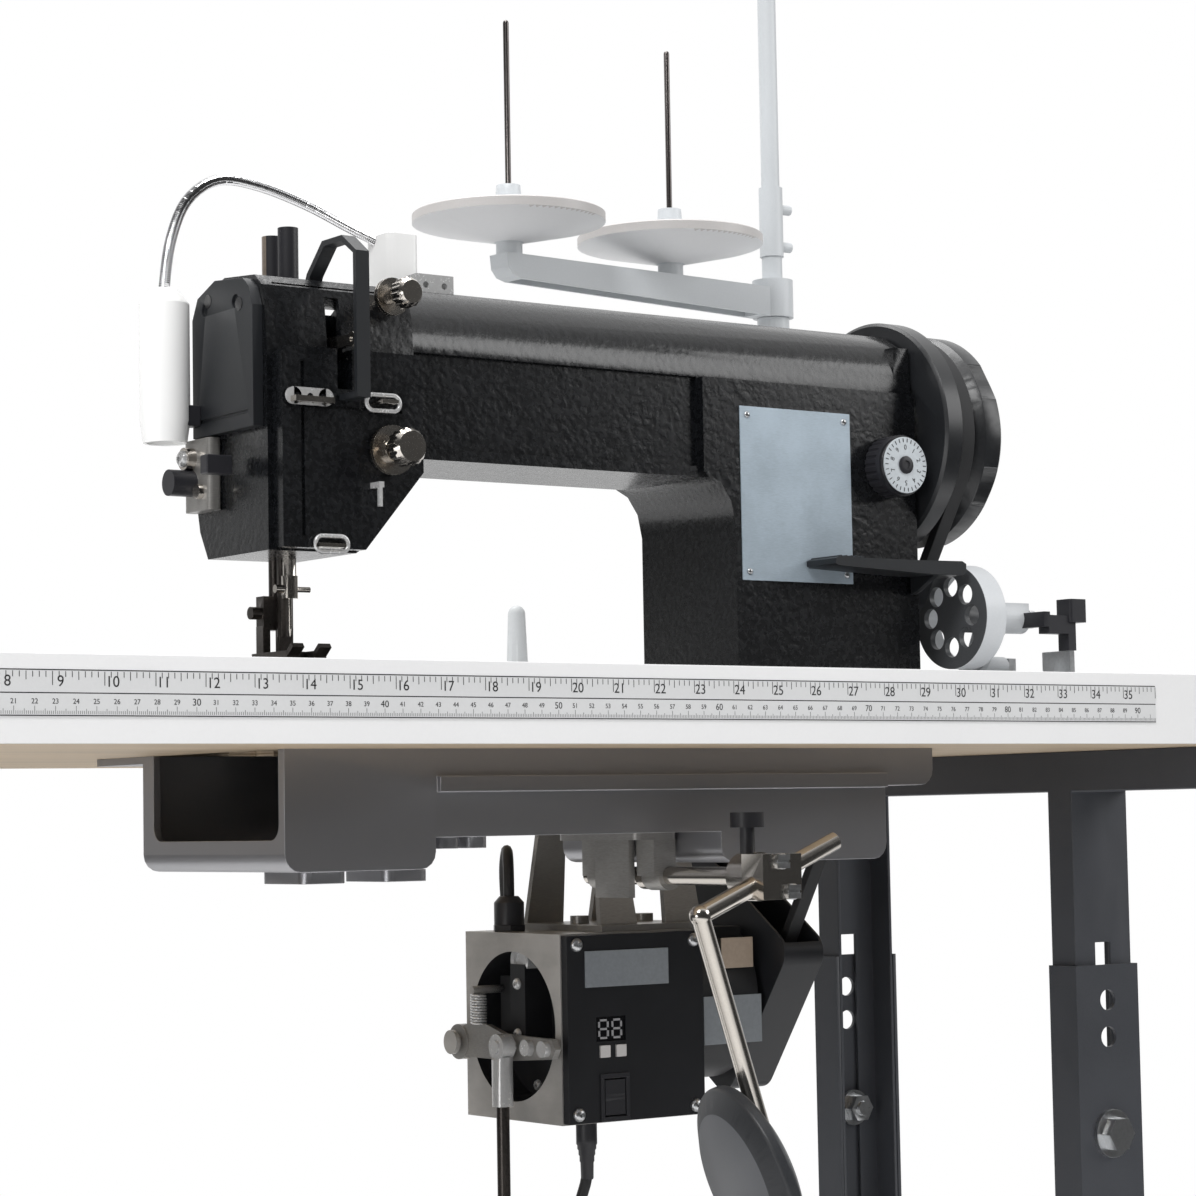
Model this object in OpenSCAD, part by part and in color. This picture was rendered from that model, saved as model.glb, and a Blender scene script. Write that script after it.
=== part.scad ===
// Free-standing industrial walking-foot sewing machine on an adjustable stand.
// The floor is Z = 0 and the middle of the table is X = Y = 0. The operator sits at -Y.

/* [Table] */
// Length of the table top
table_w = 1219; // [1160:1:1300]
// Depth of the table top
table_d = 508; // [490:1:560]
// Height of the table's working surface above the floor
table_h = 770; // [730:1:860]
// Thickness of the table top with its laminate
table_t = 40; // [36:1:50]
// Thickness of the laminate on the top and the edges
laminate_t = 2; // [1:0.5:3]
// Radius of the table's corners
table_corner_r = 24; // [10:1:40]
// Length of the ruler on the front edge
ruler_l = 914.4; // [600:0.1:1000]
// Height of the ruler
ruler_h = 21; // [16:0.5:24]
// Thickness of the ruler
ruler_t = 0.6; // [0.4:0.1:1]
// Distance from the table's surface down to the ruler
ruler_drop = 7; // [4:0.5:10]

/* [Stand] */
// Width of a lower leg
sleeve_w = 54; // [48:1:64]
// Depth of a lower leg
sleeve_d = 24; // [22:1:32]
// Sheet thickness of the legs
leg_wall = 2.5; // [2:0.1:3]
// Gap between a lower leg and the upper leg in it
leg_gap = 0.4; // [0.3:0.1:0.8]
// Distance from the table's side to the legs
leg_inset = 12; // [8:1:20]
// Distance from the table's front to the front legs
front_leg_inset = 158; // [130:1:180]
// Distance from the table's back to the rear legs
rear_leg_inset = 94; // [70:1:110]
// Height of the lower legs' upper ends above the floor
sleeve_top = 596; // [560:1:620]
// Height of the upper legs' lower ends above the floor
tube_bottom = 380; // [340:1:400]
// Height of the leg bolts above the floor
leg_bolt_z = 491; // [470:1:510]
// Radius of the leg bolts
leg_bolt_r = 5; // [4:0.5:6]
// Width of the slots and holes in the legs
leg_hole_d = 13; // [12:0.5:15]
// Height of the rails under the table
top_rail_h = 25; // [20:1:30]
// Length of the rails under the table
top_rail_l = 450; // [420:1:480]
// Height of the rails on the floor
foot_rail_h = 40; // [30:1:50]
// Length of the rails on the floor
foot_rail_l = 548; // [440:1:490]
// Height of the levelling feet
foot_h = 20; // [15:1:30]
// Radius of a levelling foot's pad
foot_r = 22; // [18:1:25]

/* [Treadle] */
// Left end of the treadle, from the needle
treadle_left = 150; // [120:1:180]
// Length of the treadle
treadle_l = 362; // [340:1:368]
// Depth of the treadle
treadle_d = 230; // [200:1:240]
// Height of the treadle's shaft above the floor
treadle_z = 100; // [92:1:120]
// Radius of the treadle's shaft
treadle_shaft_r = 6; // [5:0.5:8]
// Distance from the treadle's shaft to the rod's pivot
treadle_arm = 102; // [90:1:105]

/* [Head] */
// Length of the bed
bed_l = 458; // [450:1:462]
// Depth of the bed
bed_d = 178; // [170:1:184]
// Thickness of the bed's edge
bed_t = 10; // [8:0.5:11]
// Gap between the bed and the cut-out in the table
bed_gap = 1.5; // [1:0.1:2]
// Distance from the table's front to the bed
bed_inset = 86; // [82:1:92]
// Distance from the bed's front to the needle
needle_inset = 89; // [84:1:94]
// Distance from the bed's left end to the needle
needle_left = 53; // [50:1:56]
// Clear distance from the needle to the column
throat = 266; // [258:1:270]
// Height of the arm's top above the bed
arm_top = 210; // [205:1:225]
// Height of the arm's lower edge above the bed
arm_low = 118; // [114:1:122]
// Width of the column
column_w = 137; // [134:1:140]
// Depth of the column
column_d = 90; // [84:1:96]
// Wall thickness of the castings
cast_wall = 7; // [6:0.5:9]
// Height of the main shaft above the bed
shaft_z = 150; // [145:1:155]
// Radius of the main shaft
shaft_r = 7.5; // [6:0.5:9]
// Depth of the hook shaft below the bed
hook_drop = 42; // [40:1:46]
// Radius of the hook shaft
hook_shaft_r = 6; // [5:0.5:7]
// Length of the head housing, left of the arm
head_l = 89; // [84:1:94]
// Distance from the needle to the head's left end
head_left = 38; // [36:1:42]
// Height of the head housing's lower end above the bed
head_low = 63; // [60:1:66]

/* [Needle and feet] */
// Radius of the needle bar
needle_bar_r = 3.6; // [3:0.1:4]
// Radius of the inner foot's bar
walking_bar_r = 3; // [2.5:0.1:3.3]
// Spacing of the needle bar, the inner foot's bar and the presser bar
bar_pitch = 7.6; // [7.3:0.1:8.2]
// Height of the feet above the bed as they stand raised
foot_lift = 9.5; // [9:0.1:10.5]
// Radial running clearance of shafts and bars
run_gap = 0.05; // [0.02:0.01:0.09]

/* [Handwheel and belt] */
// Radius of the handwheel's inner flange
drum_r = 71; // [66:1:74]
// Width of the handwheel's inner flange
drum_w = 15; // [12:1:18]
// Radius at the bottom of the belt groove
groove_r = 58; // [54:1:60]
// Width of the belt groove
groove_w = 18; // [14:1:20]
// Radius of the handwheel's outer rim
rim_r = 65; // [63:1:70]
// Width of the handwheel's outer rim
rim_w = 22; // [18:1:26]
// Thickness of the belt
belt_t = 6; // [5:0.5:7]
// Width of the belt
belt_w = 10; // [8:0.5:12]
// Radius at the bottom of the motor pulley's groove
pulley_r = 28; // [25:1:32]

/* [Motor] */
// Distance from the table's middle back to the motor shaft
motor_y = 96; // [90:1:104]
// Depth of the motor shaft below the table's surface
motor_drop = 190; // [185:1:200]
// Length of the control box
box_l = 105; // [100:1:108]
// Depth of the control box
box_d = 104; // [98:1:110]
// Height of the control box
box_h = 115; // [110:1:120]
// Thickness of the control box's front panel
panel_t = 6; // [4:0.5:8]
// Radius of the motor
motor_r = 54; // [50:1:57]
// Length of the speed lever, from its pivot to the rod
lever_arm = 60; // [56:1:62]
// Radius of the rod to the treadle
rod_r = 4; // [3.5:0.5:4]

/* [Knee lifter] */
// Distance from the needle to the knee lifter's shaft
knee_x = 207; // [200:1:209]
// Radius of the knee lifter's shaft and rod
knee_r = 5; // [4:0.5:6]
// From the knee lever's clamp to its bend
knee_reach = 51; // [46:1:56]
// Radius of the knee pad
knee_pad_r = 50; // [46:1:56]

/* [Drip pan] */
// Wall thickness of the drip pan
pan_wall = 4; // [3:0.5:4.5]
// Rounding of the pan's lower corners
pan_round = 9; // [7:0.5:10]
// Depth of the drip pan, front to back
pan_d = 150; // [142:1:158]
// Depth of the pan's left well below the table's surface
pan_left_drop = 101; // [96:1:106]
// Depth of the pan's middle below the table's surface
pan_mid_drop = 85; // [80:1:88]
// Depth of the pan's right well below the table's surface
pan_right_drop = 102; // [96:1:106]

/* [Thread stand] */
// Distance from the table's right side to the mast
mast_inset_x = 109; // [100:1:120]
// Distance from the table's back to the mast
mast_inset_y = 118; // [108:1:128]
// Radius of the mast's lower tube
mast_r = 7; // [6:0.5:8]
// Height of the mast above the table
mast_h = 660; // [600:1:700]
// Height of the spool arm above the table
spool_arm_z = 273.5; // [268:0.5:290]
// Radius of a spool disc
disc_r = 62; // [56:1:65]
// Distance from the mast to the first spool
spool_1 = 93; // [86:1:100]
// Distance between the spools
spool_pitch = 137; // [132:1:150]
// Angle of the spool arm
spool_turn = 4.2; // [0:0.1:16]
// Radius of a spool pin
pin_r = 1.9; // [1.5:0.1:2.5]
// Height of the top guide above the table
guide_z = 638; // [600:1:640]

/* [Hidden] */
eps = 0.01;
air = 0.3;
hook_wheel_r = 12;
fitting_r = 5.5;
cord_r = 3.5;
coil_r = 41.5;
tension_stud_r = 3;
take_up_pin_r = 3;
upper_tension_z = arm_top - 11;
lower_tension_z = arm_low - 1.5;
feed_bar_r = 4;
table_under = table_h - table_t;
bed_x0 = -60;
bed_x1 = bed_x0 + bed_l;
bed_y0 = -table_d / 2 + bed_inset;
bed_y1 = bed_y0 + bed_d;
needle_x = bed_x0 + needle_left;
needle_y = bed_y0 + needle_inset;
walking_y = needle_y + bar_pitch;
presser_y = walking_y + bar_pitch;
head_x0 = needle_x - head_left;
head_x1 = head_x0 + head_l;
col_x0 = needle_x + throat;
col_x1 = col_x0 + column_w;
col_y0 = needle_y - column_d / 2;
col_y1 = col_y0 + column_d;
arm_y0 = col_y0 + 3;
arm_y1 = col_y1 - 10;
panel_y = col_y0 - 10;
drum_x = col_x1 + 2;
groove_x = drum_x + drum_w;
rim_x = groove_x + groove_w;
wheel_x1 = rim_x + rim_w;
belt_x = groove_x + groove_w / 2;
belt_in = groove_r + air;
belt_small = pulley_r + air;
box_x0 = 249;
box_x1 = box_x0 + box_l;
box_y0 = motor_y - box_d / 2;
box_y1 = box_y0 + box_d;
box_mid = -motor_drop - 14;
box_top = box_mid + box_h / 2;
lever_x = box_x0 - 10;
lever_y = motor_y + 47;
lever_z = -motor_drop - 25;
rod_y = lever_y - lever_arm;
rod_x = lever_x - 7;
guard_w = 32;
guard_x0 = belt_x - guard_w / 2;
knee_px = needle_x + knee_x;
knee_z = -pan_right_drop - 7;
pan_x0 = bed_x0 - bed_gap - pan_wall - 0.5;
pan_y0 = bed_y0 - bed_gap - pan_wall - 0.5;
mast_x = table_w / 2 - mast_inset_x;
mast_y = table_d / 2 - mast_inset_y;
sleeve_x0 = table_w / 2 - leg_inset - sleeve_w;
tube_w = sleeve_w - 2 * (leg_wall + leg_gap);
tube_d = sleeve_d - leg_wall - leg_gap;
tube_x0 = sleeve_x0 + leg_wall + leg_gap;
front_leg_y = -table_d / 2 + front_leg_inset;
rear_leg_y = table_d / 2 - rear_leg_inset;
foot_top = foot_h + foot_rail_h;
rail_bottom = table_under - top_rail_h;
hinge_y = bed_y1 + 8;
hinge_z = -5;
hinge_xs = [bed_x0 + 80, bed_x1 - 68];
treadle_x0 = needle_x - treadle_left;
treadle_x1 = treadle_x0 + treadle_l;
treadle_y = rod_y - treadle_arm;
winder_y = needle_y - 53;
winder_z = 39;
lamp_x = 73;
lamp_y = needle_y + 22;

// ---- helpers ----
function unit(v) = v / norm(v);
function at_arc(c, r, a) = [c[0] + r * cos(a), c[1] + r * sin(a)];

// A box given by its low and high corners
module span(a, b) {
  translate(a) cube([b[0] - a[0], b[1] - a[1], b[2] - a[2]]);
}
// A cylinder along X, Y or Z that starts at p
module rod_x(p, r, l) {
  translate(p) rotate([0, 90, 0]) cylinder(r = r, h = l, $fn = 48);
}
module rod_y(p, r, l) {
  translate(p) rotate([-90, 0, 0]) cylinder(r = r, h = l, $fn = 48);
}
module rod_z(p, r, l) {
  translate(p) cylinder(r = r, h = l, $fn = 48);
}
module ring_x(p, r_out, r_in, l) {
  difference() {
    rod_x(p, r_out, l);
    rod_x(p - [1, 0, 0], r_in, l + 2);
  }
}
// A flat rectangle with true round corners
module round_rect(a, b, r) {
  translate([a[0] + r, a[1]]) square([b[0] - a[0] - 2 * r, b[1] - a[1]]);
  translate([a[0], a[1] + r]) square([b[0] - a[0], b[1] - a[1] - 2 * r]);
  for (x = [a[0] + r, b[0] - r], y = [a[1] + r, b[1] - r]) {
    translate([x, y]) circle(r = r, $fn = 48);
  }
}
// An upright box with rounded vertical edges
module round_box(a, b, r) {
  translate([0, 0, a[2]]) linear_extrude(b[2] - a[2]) round_rect([a[0], a[1]], [b[0], b[1]], r);
}
// An outline in Y and Z, pushed out along X from x0 to x1
module along_x(x0, x1) {
  translate([x0, 0, 0]) rotate([90, 0, 90]) linear_extrude(x1 - x0) children();
}
// An outline in X and Z, pushed out along Y from y0 to y1
module along_y(y0, y1) {
  translate([0, y1, 0]) rotate([90, 0, 0]) linear_extrude(y1 - y0) children();
}
// Lifts what is drawn from the table's surface
module on_table() {
  translate([0, 0, table_h]) children();
}
// A six-sided bolt head that faces -Y
module hex_head_y(p, r, l) {
  translate(p) rotate([90, 0, 0]) cylinder(r = r, h = l, $fn = 6);
}
// A round tube swept along a list of points, for cords and bent wires
function frame_at(pts, i) =
  let (n = len(pts) - 1)
  unit(pts[min(i + 1, n)] - pts[max(i - 1, 0)]);
function side_of(t, last) = unit(last - (last * t) * t);
function sides(pts, i, last) =
  i >= len(pts) ? [] :
  let (s = side_of(frame_at(pts, i), last))
  concat([s], sides(pts, i + 1, s));
function ring_points(pts, r, n, hint) = [
  for (i = [0:len(pts) - 1])
    let (s = sides(pts, 0, hint)[i], t = frame_at(pts, i), u = cross(t, s))
    for (k = [0:n - 1]) pts[i] + r * (cos(360 * k / n) * s + sin(360 * k / n) * u)
];
module sweep(pts, r, n, hint) {
  m = len(pts);
  polyhedron(
    points = ring_points(pts, r, n, hint),
    faces = concat(
      [[for (k = [0:n - 1]) k]],
      [for (i = [0:m - 2], k = [0:n - 1])
        [i * n + k, (i + 1) * n + k, (i + 1) * n + (k + 1) % n, i * n + (k + 1) % n]],
      [[for (k = [0:n - 1]) (m - 1) * n + n - 1 - k]]
    )
  );
}
// Points of a smooth curve through a list of points
function smooth(p, steps) = [
  for (i = [0:len(p) - 2], k = [0:steps - 1])
    let (
      a = p[max(i - 1, 0)], b = p[i], c = p[i + 1], d = p[min(i + 2, len(p) - 1)],
      t = k / steps
    )
    0.5 * (2 * b + (c - a) * t + (2 * a - 5 * b + 4 * c - d) * t * t
      + (3 * b - a - 3 * c + d) * t * t * t),
  p[len(p) - 1]
];

// ---- stand ----
// An upright channel whose open side faces +Y, with a slot or holes in its web
module channel(w, d, h) {
  difference() {
    cube([w, d, h]);
    translate([leg_wall, leg_wall, -1]) cube([w - 2 * leg_wall, d, h + 2]);
  }
}
// Places a leg's parts at each of the four legs: rear legs face the other way
module each_leg() {
  for (s = [0, 1]) mirror([s, 0, 0]) {
    translate([sleeve_x0, front_leg_y, 0]) children();
    translate([sleeve_x0, rear_leg_y, 0]) mirror([0, 1, 0]) children();
  }
}
module lower_frames() {
  color("dimgray") {
    each_leg() difference() {
      translate([0, 0, foot_top]) channel(sleeve_w, sleeve_d, sleeve_top - foot_top);
      for (z = [22, 45]) rod_y([sleeve_w / 2, -1, sleeve_top - z], leg_hole_d / 2, leg_wall + 2);
      for (z = [0, -150, -175]) rod_y([sleeve_w / 2, -1, leg_bolt_z + z], leg_hole_d / 2, leg_wall + 2);
    }
    for (s = [0, 1]) mirror([s, 0, 0]) difference() {
      span([sleeve_x0, -foot_rail_l / 2, foot_h], [sleeve_x0 + sleeve_w, foot_rail_l / 2, foot_top]);
      span(
        [sleeve_x0 + leg_wall, -foot_rail_l / 2 - 1, foot_h + leg_wall],
        [sleeve_x0 + sleeve_w - leg_wall, foot_rail_l / 2 + 1, foot_top - leg_wall]
      );
      for (y = [-1, 1]) rod_z(
        [sleeve_x0 + sleeve_w / 2, y * (foot_rail_l / 2 - foot_r - 8), foot_h - 1],
        leg_bolt_r + run_gap, leg_wall + 2
      );
    }
  }
}
module leg_hardware() {
  color("silver") {
    each_leg() {
      translate([sleeve_w / 2, 0, leg_bolt_z]) {
        rod_y([0, -2.5, 0], 15, 2.5);
        hex_head_y([0, -2.5, 0], 11, 7);
        rod_y([0, 0, 0], leg_bolt_r, leg_wall + leg_gap + leg_wall + 14);
        rod_y([0, 2 * leg_wall + leg_gap + air, 0], 12, 3);
        translate([0, 2 * leg_wall + leg_gap + air + 3 + 8, 0])
          rotate([90, 0, 0]) cylinder(r = 9.5, h = 8, $fn = 6);
      }
    }
    for (s = [0, 1], y = [-1, 1]) mirror([s, 0, 0])
      translate([sleeve_x0 + sleeve_w / 2, y * (foot_rail_l / 2 - foot_r - 8), 0]) {
        cylinder(r1 = foot_r, r2 = foot_r - 6, h = 8, $fn = 48);
        rod_z([0, 0, 8], leg_bolt_r, foot_h + 8);
        translate([0, 0, foot_h - 6]) cylinder(r = 9, h = 6, $fn = 6);
      }
  }
}
module upper_frames() {
  color("dimgray") {
    each_leg() translate([tube_x0 - sleeve_x0, leg_wall + leg_gap, 0]) difference() {
      translate([0, 0, tube_bottom]) channel(tube_w, tube_d, rail_bottom - tube_bottom);
      span(
        [(tube_w - leg_hole_d) / 2, -1, tube_bottom + 40],
        [(tube_w + leg_hole_d) / 2, leg_wall + 1, sleeve_top + 14]
      );
    }
    for (s = [0, 1]) mirror([s, 0, 0]) difference() {
      span([tube_x0, -top_rail_l / 2, rail_bottom], [tube_x0 + tube_w, top_rail_l / 2, table_under]);
      span(
        [tube_x0 + leg_wall, -top_rail_l / 2 - 1, rail_bottom + leg_wall],
        [tube_x0 + tube_w - leg_wall, top_rail_l / 2 + 1, table_under - leg_wall]
      );
    }
  }
}
module treadle_support() {
  color("dimgray") {
    span([-sleeve_x0, treadle_y - 20, foot_h], [sleeve_x0, treadle_y + 20, foot_h + 28]);
    for (x = [treadle_x0 - 8, treadle_x1 + 3]) difference() {
      span([x, treadle_y - 18, foot_h + 28], [x + 5, treadle_y + 18, treadle_z + 14]);
      rod_x([x - 1, treadle_y, treadle_z], treadle_shaft_r, 7);
    }
    rod_x([treadle_x0 - 12, treadle_y, treadle_z], treadle_shaft_r, treadle_l + 24);
    span(
      [-sleeve_x0, rear_leg_y - sleeve_d + leg_wall, 270],
      [sleeve_x0, rear_leg_y - leg_wall, 310]
    );
  }
}
module treadle() {
  color("#2c2d2f") {
    difference() {
      union() {
        span([treadle_x0, treadle_y - treadle_d / 2, treadle_z + 2], [treadle_x1, treadle_y + treadle_d / 2, treadle_z + 9]);
        for (x = [treadle_x0, treadle_x1 - 10, treadle_x0 + treadle_l / 2 - 5])
          span([x, treadle_y - treadle_d / 2, treadle_z - 12], [x + 10, treadle_y + treadle_d / 2, treadle_z + 2]);
        rod_x([treadle_x0, treadle_y, treadle_z], treadle_shaft_r + 7, treadle_l);
      }
      rod_x([treadle_x0 - 1, treadle_y, treadle_z], treadle_shaft_r + run_gap, treadle_l + 2);
      for (i = [0:6])
        span(
          [treadle_x0 + 22 + i * 47, treadle_y + 22, treadle_z + 1],
          [treadle_x0 + 47 + i * 47, treadle_y + treadle_d / 2 - 14, treadle_z + 12]
        );
    }
    rod_x([treadle_x1, rod_y, treadle_z], 5, rod_x - treadle_x1 + 5);
    rod_x([rod_x + 5, rod_y, treadle_z], 8, 2);
  }
}
module pitman_tube() {
  color("#8d9092") {
    ring_x([rod_x - 5, rod_y, treadle_z], 10, 5 + run_gap, 9.7);
    difference() {
      rod_z([rod_x, rod_y, treadle_z + 9], rod_r + 3, 250);
      rod_z([rod_x, rod_y, treadle_z + 20], rod_r + 1.2, 250);
      rod_x([rod_x - 9, rod_y, treadle_z], 9, 18);
    }
    difference() {
      rod_z([rod_x, rod_y, treadle_z + 232], rod_r + 5, 18);
      rod_z([rod_x, rod_y, treadle_z + 231], rod_r + 3, 20);
    }
  }
}

// ---- table ----
module table_cuts(z0, z1) {
  difference() {
    span([bed_x0 - bed_gap, bed_y0 - bed_gap, z0], [bed_x1 + bed_gap, bed_y1 + bed_gap + 0.6, z1]);
    for (x = [bed_x0 - bed_gap - 1, bed_x1 + bed_gap - 31])
      span([x, bed_y0 - bed_gap - 1, z0 - 1], [x + 32, bed_y0 + 28, -bed_t - 5]);
  }
  for (x = hinge_xs)
    span([x - 14, bed_y1, z0], [x + 14, hinge_y + 14, z1]);
  round_box([belt_x - 13, needle_y - 4, z0], [belt_x + 13, motor_y + 34, z1], 10);
}
module table_core() {
  color("#d9bf98") on_table() difference() {
    translate([0, 0, -table_t]) linear_extrude(table_t - laminate_t) round_rect(
      [-table_w / 2 + laminate_t, -table_d / 2 + laminate_t],
      [table_w / 2 - laminate_t, table_d / 2 - laminate_t],
      table_corner_r - laminate_t
    );
    table_cuts(-table_t - 1, 1);
    rod_z([mast_x, mast_y, -table_t - 1], mast_r + run_gap, table_t + 2);
  }
}
module table_laminate() {
  color("white") on_table() difference() {
    translate([0, 0, -table_t]) linear_extrude(table_t)
      round_rect([-table_w / 2, -table_d / 2], [table_w / 2, table_d / 2], table_corner_r);
    translate([0, 0, -table_t - 1]) linear_extrude(table_t - laminate_t + 1) round_rect(
      [-table_w / 2 + laminate_t, -table_d / 2 + laminate_t],
      [table_w / 2 - laminate_t, table_d / 2 - laminate_t],
      table_corner_r - laminate_t
    );
    table_cuts(-laminate_t - 1, 1);
    rod_z([mast_x, mast_y, -laminate_t - 1], mast_r + run_gap, laminate_t + 2);
  }
}
module ruler_strip() {
  color("gainsboro") on_table() span(
    [-ruler_l / 2, -table_d / 2 - ruler_t, -ruler_drop - ruler_h],
    [ruler_l / 2, -table_d / 2, -ruler_drop]
  );
}
// One well of the drip pan, with its floor at the given depth
// A well of the pan, its lower edges rounded by r0 at x0 and by r1 at x1
module pan_well(x0, x1, drop, r0, r1) {
  along_y(pan_y0, pan_y0 + pan_d) polygon([
    [x0, -table_t], [x0, r0 - drop], [x0 + 0.076 * r0, 0.617 * r0 - drop], [x0 + 0.293 * r0, 0.293 * r0 - drop],
    [x0 + 0.617 * r0, 0.076 * r0 - drop], [x0 + r0, -drop], [x1 - r1, -drop], [x1 - 0.617 * r1, 0.076 * r1 - drop],
    [x1 - 0.293 * r1, 0.293 * r1 - drop], [x1 - 0.076 * r1, 0.617 * r1 - drop], [x1, r1 - drop], [x1, -table_t]
  ]);
}
module pan_hollow(x0, x1, drop) {
  span(
    [x0 + pan_wall, pan_y0 + pan_wall, -drop + pan_wall],
    [x1 - pan_wall, pan_y0 + pan_d - pan_wall, -table_t + 1]
  );
}
module drip_pan() {
  a = pan_x0 + 88;
  b = a + 183;
  c = b + 118;
  d = c + 36;
  color("#85868a") on_table() {
    difference() {
      union() {
        pan_well(pan_x0, a, pan_left_drop, pan_round, pan_round);
        pan_well(a - 2, b + 2, pan_mid_drop, 1, 1);
        pan_well(b, c, pan_right_drop, pan_round, pan_round);
        pan_well(c - 2, d, 61, 1, pan_round);
        span([a + 1, pan_y0 - 3.5, -62], [c - 1, pan_y0 + 1, -54]);
        span([pan_x0, pan_y0 + pan_d - pan_wall, -table_t - 4], [d, bed_y1 + 20, -table_t]);
      }
      pan_hollow(pan_x0, a, pan_left_drop);
      pan_hollow(a - 2 * pan_wall, b + 2 * pan_wall, pan_mid_drop);
      pan_hollow(b, c, pan_right_drop);
      pan_hollow(c - 2 * pan_wall, d, 61);
      along_x(pan_x0 - 1, pan_x0 + pan_wall + 1)
        round_rect([pan_y0 + 6, 16 - pan_left_drop], [pan_y0 + pan_d - 12, 10 - table_t], 8);
      for (x = hinge_xs) span([x - 18, bed_y1 - 20, -table_t - 5], [x + 18, bed_y1 + 21, -table_t + 1]);
    }
    for (p = [[14, 0], [62, 0]]) {
      round_box([pan_x0 + p[0], pan_y0 + 6, -pan_left_drop - 6], [pan_x0 + p[0] + 26, pan_y0 + 50, -pan_left_drop], 6);
    }
    for (x = [8, 25]) round_box(
      [a + x, pan_y0 + 8, -pan_mid_drop - 6],
      [a + x + 13, pan_y0 + 34, -pan_mid_drop], 5
    );
    rod_z([b + 62, pan_y0 + 26, -pan_right_drop - 9], 7, 9);
  }
}
// Hinge blocks at the back of the cut-out and rubber cushions at its front corners
module head_mounts() {
  color("#3a3b3d") on_table() {
    for (x = hinge_xs) {
      for (s = [-1, 1]) span(
        [x + s * 10 - 3, hinge_y - 6, hinge_z - 30],
        [x + s * 10 + 3, hinge_y + 9, hinge_z + 5]
      );
      span([x - 13, hinge_y + 8, hinge_z - 30], [x + 13, hinge_y + 14, hinge_z + 6]);
      rod_x([x - 7, hinge_y, hinge_z], 4, 14);
    }
    for (x = [bed_x0 + 1, bed_x1 - 27])
      span([x, bed_y0 + 1, -bed_t - 5], [x + 26, bed_y0 + 26, -bed_t - air]);
  }
}
module head_rest_post() {
  color("#c9cccf") on_table() translate([col_x0 + 18, table_d / 2 - 128, 0]) {
    cylinder(r = 9, h = 4, $fn = 48);
    translate([0, 0, 4]) cylinder(r1 = 7.5, r2 = 5.5, h = 50, $fn = 48);
    translate([0, 0, 54]) sphere(r = 5.5, $fn = 32);
  }
}

// ---- motor ----
module motor_bracket() {
  top = -table_t - 4;
  color("#9a9ca0") on_table() {
    span([box_x0 + 12, motor_y - 42, top], [box_x0 + 132, motor_y + 42, -table_t]);
    span([box_x0 + 36, motor_y - 46, box_top], [box_x0 + 118, motor_y + 46, box_top + 4]);
    for (x = [44, 94], y = [-1, 1]) hull() {
      span([box_x0 + x, motor_y + y * 24 - 2, top - 1], [box_x0 + x + 16, motor_y + y * 24 + 2, top]);
      span([box_x0 + x - 6, motor_y + y * 40 - 2, box_top + 4], [box_x0 + x + 22, motor_y + y * 40 + 2, box_top + 5]);
    }
    for (x = [52, 102]) rod_z([box_x0 + x, motor_y, box_top + 4], 6, 5);
  }
}
module motor_body() {
  color("#232427") on_table() {
    difference() {
      union() {
        rod_x([box_x1, motor_y, -motor_drop], motor_r, guard_x0 - box_x1 - 6);
        span(
          [box_x1, box_y0 + 12, -motor_drop - 20],
          [guard_x0 - 8, motor_y + 30, box_top]
        );
        rod_x([guard_x0 - 6, motor_y, -motor_drop], 22, 6);
      }
      rod_x([box_x1 + 10, motor_y, -motor_drop], shaft_r + run_gap, guard_x0 - box_x1);
      span([box_x1 - 1, motor_y - motor_r, box_top], [guard_x0, motor_y + motor_r, box_top + 20]);
    }
  }
}
module control_box() {
  color("#8f9093") on_table() {
    difference() {
      span([box_x0, box_y0, box_top - box_h], [box_x1, box_y1, box_top]);
      rod_x([box_x0 - 1, motor_y, box_mid], 46, 25);
      span([box_x0 + 26, box_y0 - 1, box_mid - 55], [box_x0 + 44, box_y0 + 6, box_mid - 29]);
    }
    rod_x([box_x0 - 16, lever_y, lever_z], 4, 27);
    rod_x([box_x0 - 16, lever_y, lever_z], 7.5, 3);
    span([box_x0 + 10, motor_y + 12, box_mid - 4], [box_x0 + 24, motor_y + 28, box_mid + 30]);
    span([box_x0 + 4, motor_y - 8, box_mid - 12], [box_x0 + 24, motor_y + 8, box_mid + 38]);
    rod_x([box_x0 - 13, motor_y + 26, box_mid + 22], 2.5, 25);
  }
}
module control_panel() {
  color("#17181a") on_table() difference() {
    span([box_x0 + 1, box_y0 - panel_t, box_top - box_h + 1], [box_x1 - 1, box_y0, box_top - 1]);
    span([box_x0 + 22, box_y0 - panel_t - 1, box_mid - 8], [box_x0 + 44, box_y0 - panel_t + 1.5, box_mid + 7]);
    for (x = [24, 36]) span([box_x0 + x, box_y0 - panel_t - 1, box_mid - 18], [box_x0 + x + 8, box_y0 - 1, box_mid - 10]);
    span([box_x0 + 27, box_y0 - panel_t - 1, box_mid - 53.5], [box_x0 + 43, box_y0 + 1, box_mid - 30.5]);
    rod_x([box_x0 + 25, box_y0 - panel_t + 3, box_mid - 42], 1.5 + run_gap, 20);
  }
}
module mode_buttons() {
  color("#cfd3d6") on_table() for (x = [24, 36]) span(
    [box_x0 + x + air, box_y0 - panel_t - 1.2, box_mid - 18 + air],
    [box_x0 + x + 8 - air, box_y0 - 2.6, box_mid - 10 - air]
  );
}
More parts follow.
